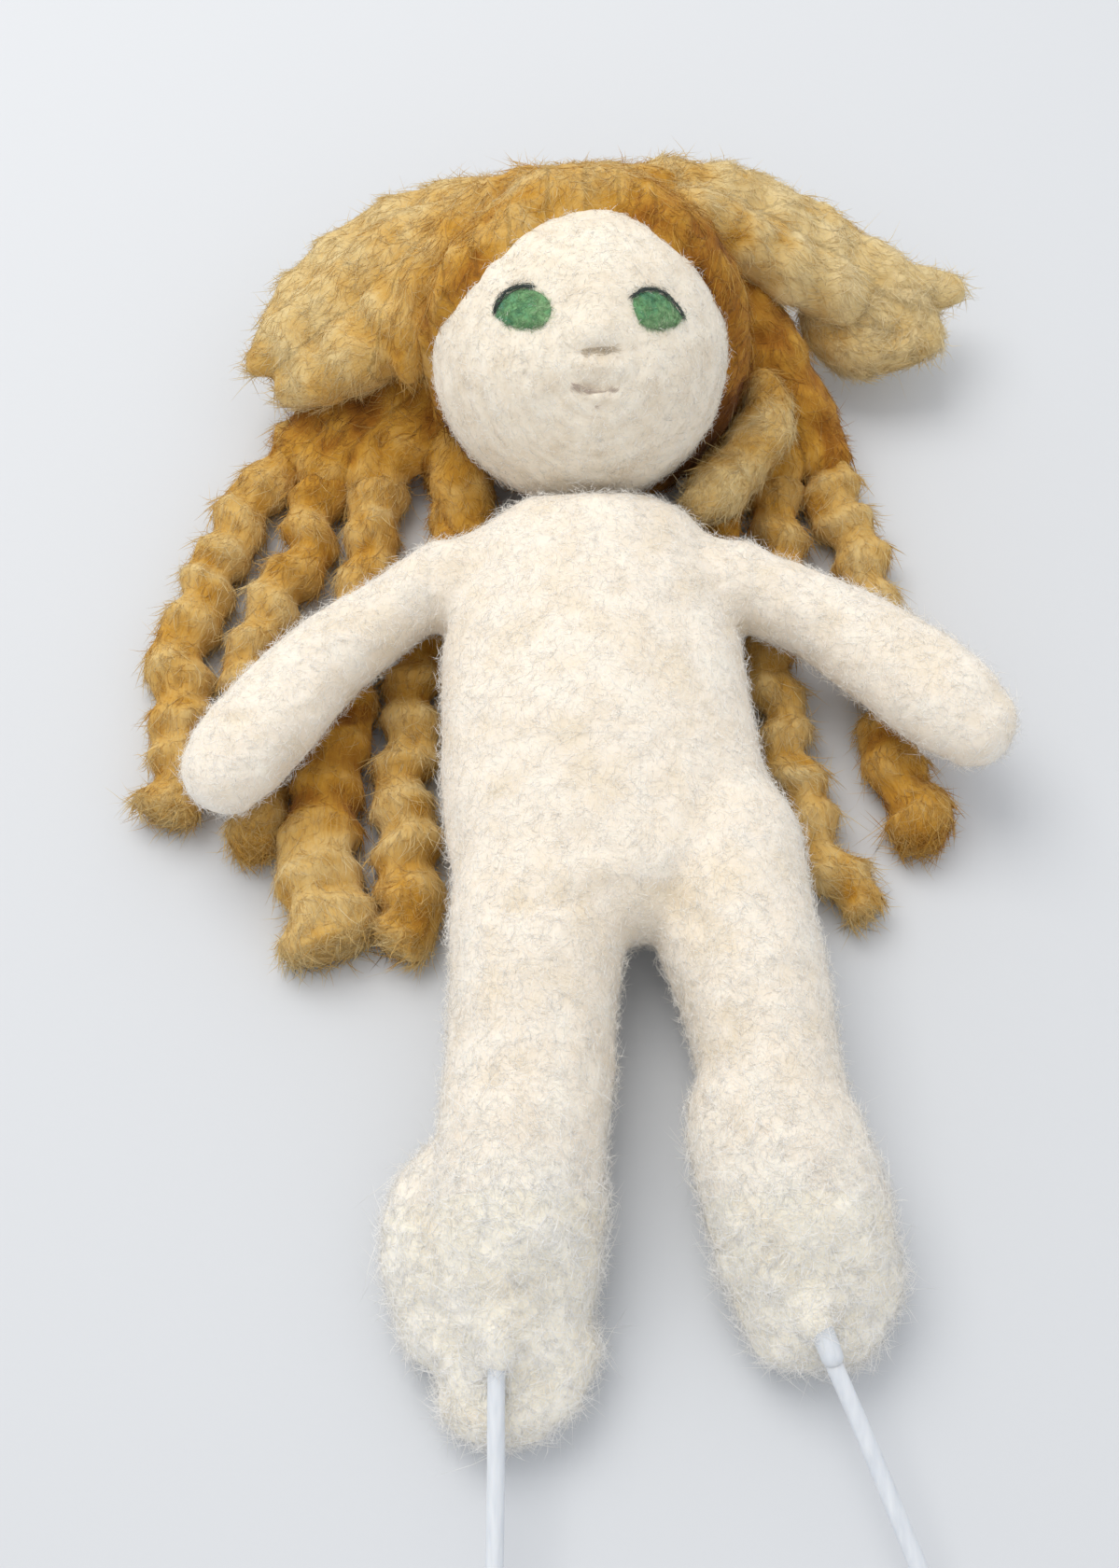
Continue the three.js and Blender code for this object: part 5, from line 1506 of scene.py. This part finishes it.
def build_wires():
    """The strands inside the felt keep their CAD shape with a plastic finish. Each shin's wire is a smooth
    tube along its route, a round profile with rounded ends, and the left one leaves the foot through a
    short thicker sleeve."""
    for name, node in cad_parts.items():
        if name.endswith("_wire") or name.endswith("_loop"):
            node.data.materials.clear()
            node.data.materials.append(material("wire"))
    for side, route in SHIN_WIRES.items():
        stations = [(*place, WIRE_RADIUS, WIRE_RADIUS) for place in route]
        parts = [loft(stations, steps=14, sides=20)]
        if side == "left":
            parts.append(loft(LEFT_SLEEVE, steps=6, sides=20))
        points, faces = joined(parts)
        solid = f"{side}_shin_wire"
        piece(f"{side}_bare_wire", points, faces, "wire", (f"{side}_shin",), "milky_wire", (solid,))


# Stage


FLOOR_HALF = 3000.0
LAMP_SIZE = 0.42
LAMP_PLACE = (-0.19, 0.22, 0.54)
LAMP_TARGET = (0, 0, 0.01)
# The camera: its tilt over the floor, what it looks at and from how far in millimetres, and its lens
TILT = math.radians(63.0)
LOOK_AT = np.array([-4.0, -2.0, 10.0])
LOOK_FROM = 235.0
LENS = {"sensor_width": 36.0, "lens": 41.79, "clip_start": 0.005, "clip_end": 20.0}


def floor_material(settings):
    """Matt pale paper with a fine grain."""
    made, tree = empty_material("pale_paper_floor")
    place = add_node(tree, "TexCoord").outputs["Object"]
    grain = add_node(tree, "TexNoise", {"Vector": place, "Scale": 900.0, "Detail": 2.0})
    surface = {
        "Base Color": (*settings.floor_colour, 1.0),
        "Roughness": 0.9,
        "Specular IOR Level": 0.1,
        "Normal": add_node(tree, "Bump", {"Height": grain, "Strength": 0.15, "Distance": 0.05 * MM}),
    }
    add_node(tree, "OutputMaterial", {"Surface": add_node(tree, "BsdfPrincipled", surface)})
    return made


def soft_sky(strength):
    """A sky that lights evenly by its strength and looks pale grey to the camera."""
    world = bpy.data.worlds.new("soft_sky")
    world.use_nodes = True
    tree = world.node_tree
    tree.nodes.clear()
    rays = add_node(tree, "LightPath").outputs
    seen = rays["Is Camera Ray"]
    for kind in ("Is Glossy Ray", "Is Transmission Ray"):
        seen = add_node(tree, "Math", {0: seen, 1: rays[kind]}, operation="MAXIMUM")
    light = add_node(tree, "Background", {"Color": linear("#ffffff"), "Strength": strength})
    shown = add_node(tree, "Background", {"Color": linear("#f1f3f6"), "Strength": 1.0})
    add_node(tree, "OutputWorld", {"Surface": add_node(tree, "MixShader", {0: seen, 1: light, 2: shown})})
    return world


def build_stage(settings):
    """A pale floor, a soft lamp above the head's right, an even sky, and the camera."""
    size = FLOOR_HALF
    corners = np.array([[-size, -size, 0], [size, -size, 0], [size, size, 0], [-size, size, 0]])
    square = mesh_of("floor", corners, [np.array([[0, 1, 2, 3]])])
    object_of("floor", square, floor_material(settings))

    scene = bpy.context.scene
    scene.world = soft_sky(settings.sky_strength)
    scene.view_settings.view_transform = "Standard"

    lamp = bpy.data.lights.new("soft_window", "AREA")
    lamp.shape = "RECTANGLE"
    lamp.size = lamp.size_y = LAMP_SIZE
    lamp.energy = settings.lamp_power
    lamp.color = linear("#fffaf2")[:3]
    aimed("soft_window", lamp, LAMP_PLACE, LAMP_TARGET)

    lens = bpy.data.cameras.new("photo_view")
    for key, value in LENS.items():
        setattr(lens, key, value)
    place = LOOK_AT + LOOK_FROM * np.array([0, -math.cos(TILT), math.sin(TILT)])
    scene.camera = aimed("photo_view", lens, place * MM, LOOK_AT * MM)


def aimed(name, data, place, target):
    """An object for a lamp or camera that looks from one point to another, with the doll's head up in its
    view."""
    obj = bpy.data.objects.new(name, data)
    bpy.context.scene.collection.objects.link(obj)
    back = unit(np.array(place) - np.array(target))
    right = unit(np.cross([0, 1.0, 0], back))
    up = np.cross(back, right)
    matrix = np.eye(4)
    matrix[:3, 0], matrix[:3, 1], matrix[:3, 2], matrix[:3, 3] = right, up, back, place
    obj.matrix_world = Matrix(matrix.tolist())
    return obj


# Settings


LENGTH = {"unit": "LENGTH", "precision": 5}


class FeltDollSettings(bpy.types.PropertyGroup):
    """Sizes, counts and colours that a user would change."""

    seed: IntProperty(name="Seed", description="Where the fibres fall", default=4, min=0)
    fuzz_length: FloatProperty(
        name="Fuzz length", description="Mean length of the fibres that stand off the felt",
        default=1.4 * MM, min=0.2 * MM, **LENGTH,
    )
    body_fibres: IntProperty(
        name="Body fibres", description="Fibres on the body's felt", default=72000, min=0
    )
    foot_fibres: IntProperty(
        name="Foot fibres", description="Long fibres on the shins and feet", default=11500, min=0
    )
    head_fibres: IntProperty(name="Head fibres", description="Fibres on the head", default=15000, min=0)
    hair_length: FloatProperty(
        name="Hair length", description="Mean length of the wisps on the hair",
        default=2.8 * MM, min=0.5 * MM, **LENGTH,
    )
    hair_fibres: IntProperty(name="Hair fibres", description="Wisps on a whole tuft", default=4000, min=0)
    lock_fibres: IntProperty(name="Lock fibres", description="Wisps on a long lock", default=3600, min=0)
    floor_colour: FloatVectorProperty(
        name="Floor", description="Colour of the pale floor", default=linear("#d6dae0")[:3], subtype="COLOR",
        size=3,
    )
    lamp_power: FloatProperty(name="Lamp", description="Power of the soft lamp", default=1.88, unit="POWER")
    sky_strength: FloatProperty(name="Sky", description="Strength of the even light", default=0.77)


# Operators


class DollStage(bpy.types.Operator):
    """Make the floor, the lights and the camera"""

    bl_idname = "felt_doll.stage"
    bl_label = "Stage"

    def execute(self, context):
        build_stage(getattr(context.scene, SETTINGS))
        return {"FINISHED"}


class DollBody(bpy.types.Operator):
    """Make the felt of the torso, arms, legs and feet"""

    bl_idname = "felt_doll.body"
    bl_label = "Body"

    def execute(self, context):
        settings = getattr(context.scene, SETTINGS)
        points, faces, tone = body_skin()
        for name, mesh in cut_pieces(points, faces, tone).items():
            look, slot = ("batt", "loose_wool") if name in FEET else ("felt", "felted_wool")
            obj = object_of(f"{name}_felt", mesh, material(look))
            settle(obj, RIDES[name], REPLACED[name])
        body_fuzz(np.random.default_rng(settings.seed), points, faces, tone, settings)
        return {"FINISHED"}


class DollHead(bpy.types.Operator):
    """Make the felt of the head with its fuzz"""

    bl_idname = "felt_doll.head"
    bl_label = "Head"

    def execute(self, context):
        settings = getattr(context.scene, SETTINGS)
        points, faces, tone, comb = head_skin()
        head = RIDES["head"]
        look = {"tone": tone, "comb": comb}
        piece("head_felt", points, faces, "face", head, "felted_wool", ("head",), fill=HEAD_FILL, **look)
        rng = np.random.default_rng(settings.seed + 1)
        shown = eased(face_place(points)[:, 2], -8, 0)
        # The fuzz's tone, raised by 0.45, is painted light in place of light passing through thin fibres
        fuzz = fibres(
            rng, points, faces, settings.head_fibres, settings.fuzz_length / MM * 0.75, FIBRE_WIDTH, (1, 60),
            curl=0.9, share=shown + 0.02, tone=0.5 * tone + 0.45, spread=0.55, bury=0.08,
        )
        piece("head_fuzz", fuzz[0], fuzz[1], "halo", head, "felted_wool", tone=fuzz[2])
        return {"FINISHED"}


class DollFace(bpy.types.Operator):
    """Make the eyes, lashes, nose and mouth"""

    bl_idname = "felt_doll.face"
    bl_label = "Face"

    def execute(self, context):
        rng = np.random.default_rng(getattr(context.scene, SETTINGS).seed + 2)
        for side in SIDES:
            build_eye(f"{side}_eye", side, rng)
            over = np.array(LASHES[side]) + [0, LASH_RISE]
            sets = [
                strand(rng, LASHES[side], 170, 1.6, thick=0.075, spread=0.12, proud=0.30, stray=0.12),
                strand(rng, over, 30, 0.9, thick=0.04, spread=0.35, proud=0.15, stray=0.9),
            ]
            face_strand(f"{side}_lash_wisps", sets, "dark", "dark_wool", (f"{side}_lash",))
        mouth = [
            strand(rng, UPPER_LIP, 110, 1.3, thick=0.055, spread=0.32, proud=0.03, stray=0.25),
            strand(rng, LOWER_LIP, 30, 1.2, thick=0.05, spread=0.25, proud=0.0, stray=0.3),
        ]
        face_strand("mouth_wisp", mouth, "pink", "pink_wool", ("mouth",))
        nose = [strand(rng, NOSE, 110, 1.4, thick=0.06, spread=0.35, proud=0.0, stray=0.3)]
        face_strand("nose_wisp", nose, "tan", "felted_wool", ("nose",))
        return {"FINISHED"}


class DollHair(bpy.types.Operator):
    """Make the cap, the tufts, the back hair and the cheek lock"""

    bl_idname = "felt_doll.hair"
    bl_label = "Hair"

    def execute(self, context):
        settings = getattr(context.scene, SETTINGS)
        rng = np.random.default_rng(settings.seed + 3)
        build_hair(
            "hair_cap", rng, TUFTS["hair_cap"], hair_tone_and_shade("hair_cap"), settings, CAP_SHARE,
            extra=[cap_surface()], combing=cap_lines(), lump=CAP_LUMP,
        )
        for name, amount in HAIR_SHARES.items():
            build_hair(name, rng, TUFTS[name], hair_tone_and_shade(name), settings, amount, keep_out=out_of_head)
        return {"FINISHED"}


class DollLocks(bpy.types.Operator):
    """Make the long crimped locks"""

    bl_idname = "felt_doll.locks"
    bl_label = "Long locks"

    def execute(self, context):
        settings = getattr(context.scene, SETTINGS)
        rng = np.random.default_rng(settings.seed + 5)
        for name in LOCKS:
            build_lock(name, rng, settings)
        return {"FINISHED"}


class DollArmature(bpy.types.Operator):
    """Finish the wire armature"""

    bl_idname = "felt_doll.armature"
    bl_label = "Armature"

    def execute(self, context):
        build_wires()
        return {"FINISHED"}


class DollPanel(bpy.types.Panel):
    """The doll's settings and pieces"""

    bl_label = "Felt doll"
    bl_idname = "VIEW3D_PT_felt_doll"
    bl_space_type = "VIEW_3D"
    bl_region_type = "UI"
    bl_category = "Felt doll"

    def draw(self, context):
        settings = getattr(context.scene, SETTINGS)
        for key in FeltDollSettings.__annotations__:
            self.layout.prop(settings, key)
        for operator in OPERATORS:
            self.layout.operator(operator.bl_idname)


OPERATORS = (DollStage, DollBody, DollHead, DollFace, DollHair, DollLocks, DollArmature)
CLASSES = (FeltDollSettings, *OPERATORS, DollPanel)


def register():
    for each in CLASSES:
        bpy.utils.register_class(each)
    setattr(bpy.types.Scene, SETTINGS, bpy.props.PointerProperty(type=FeltDollSettings))


def unregister():
    delattr(bpy.types.Scene, SETTINGS)
    for each in reversed(CLASSES):
        bpy.utils.unregister_class(each)


def main():
    """Builds everything."""
    register()
    bpy.ops.felt_doll.stage()
    bpy.ops.felt_doll.armature()
    bpy.ops.felt_doll.body()
    bpy.ops.felt_doll.head()
    bpy.ops.felt_doll.face()
    bpy.ops.felt_doll.hair()
    bpy.ops.felt_doll.locks()


if __name__ == "__main__":
    main()
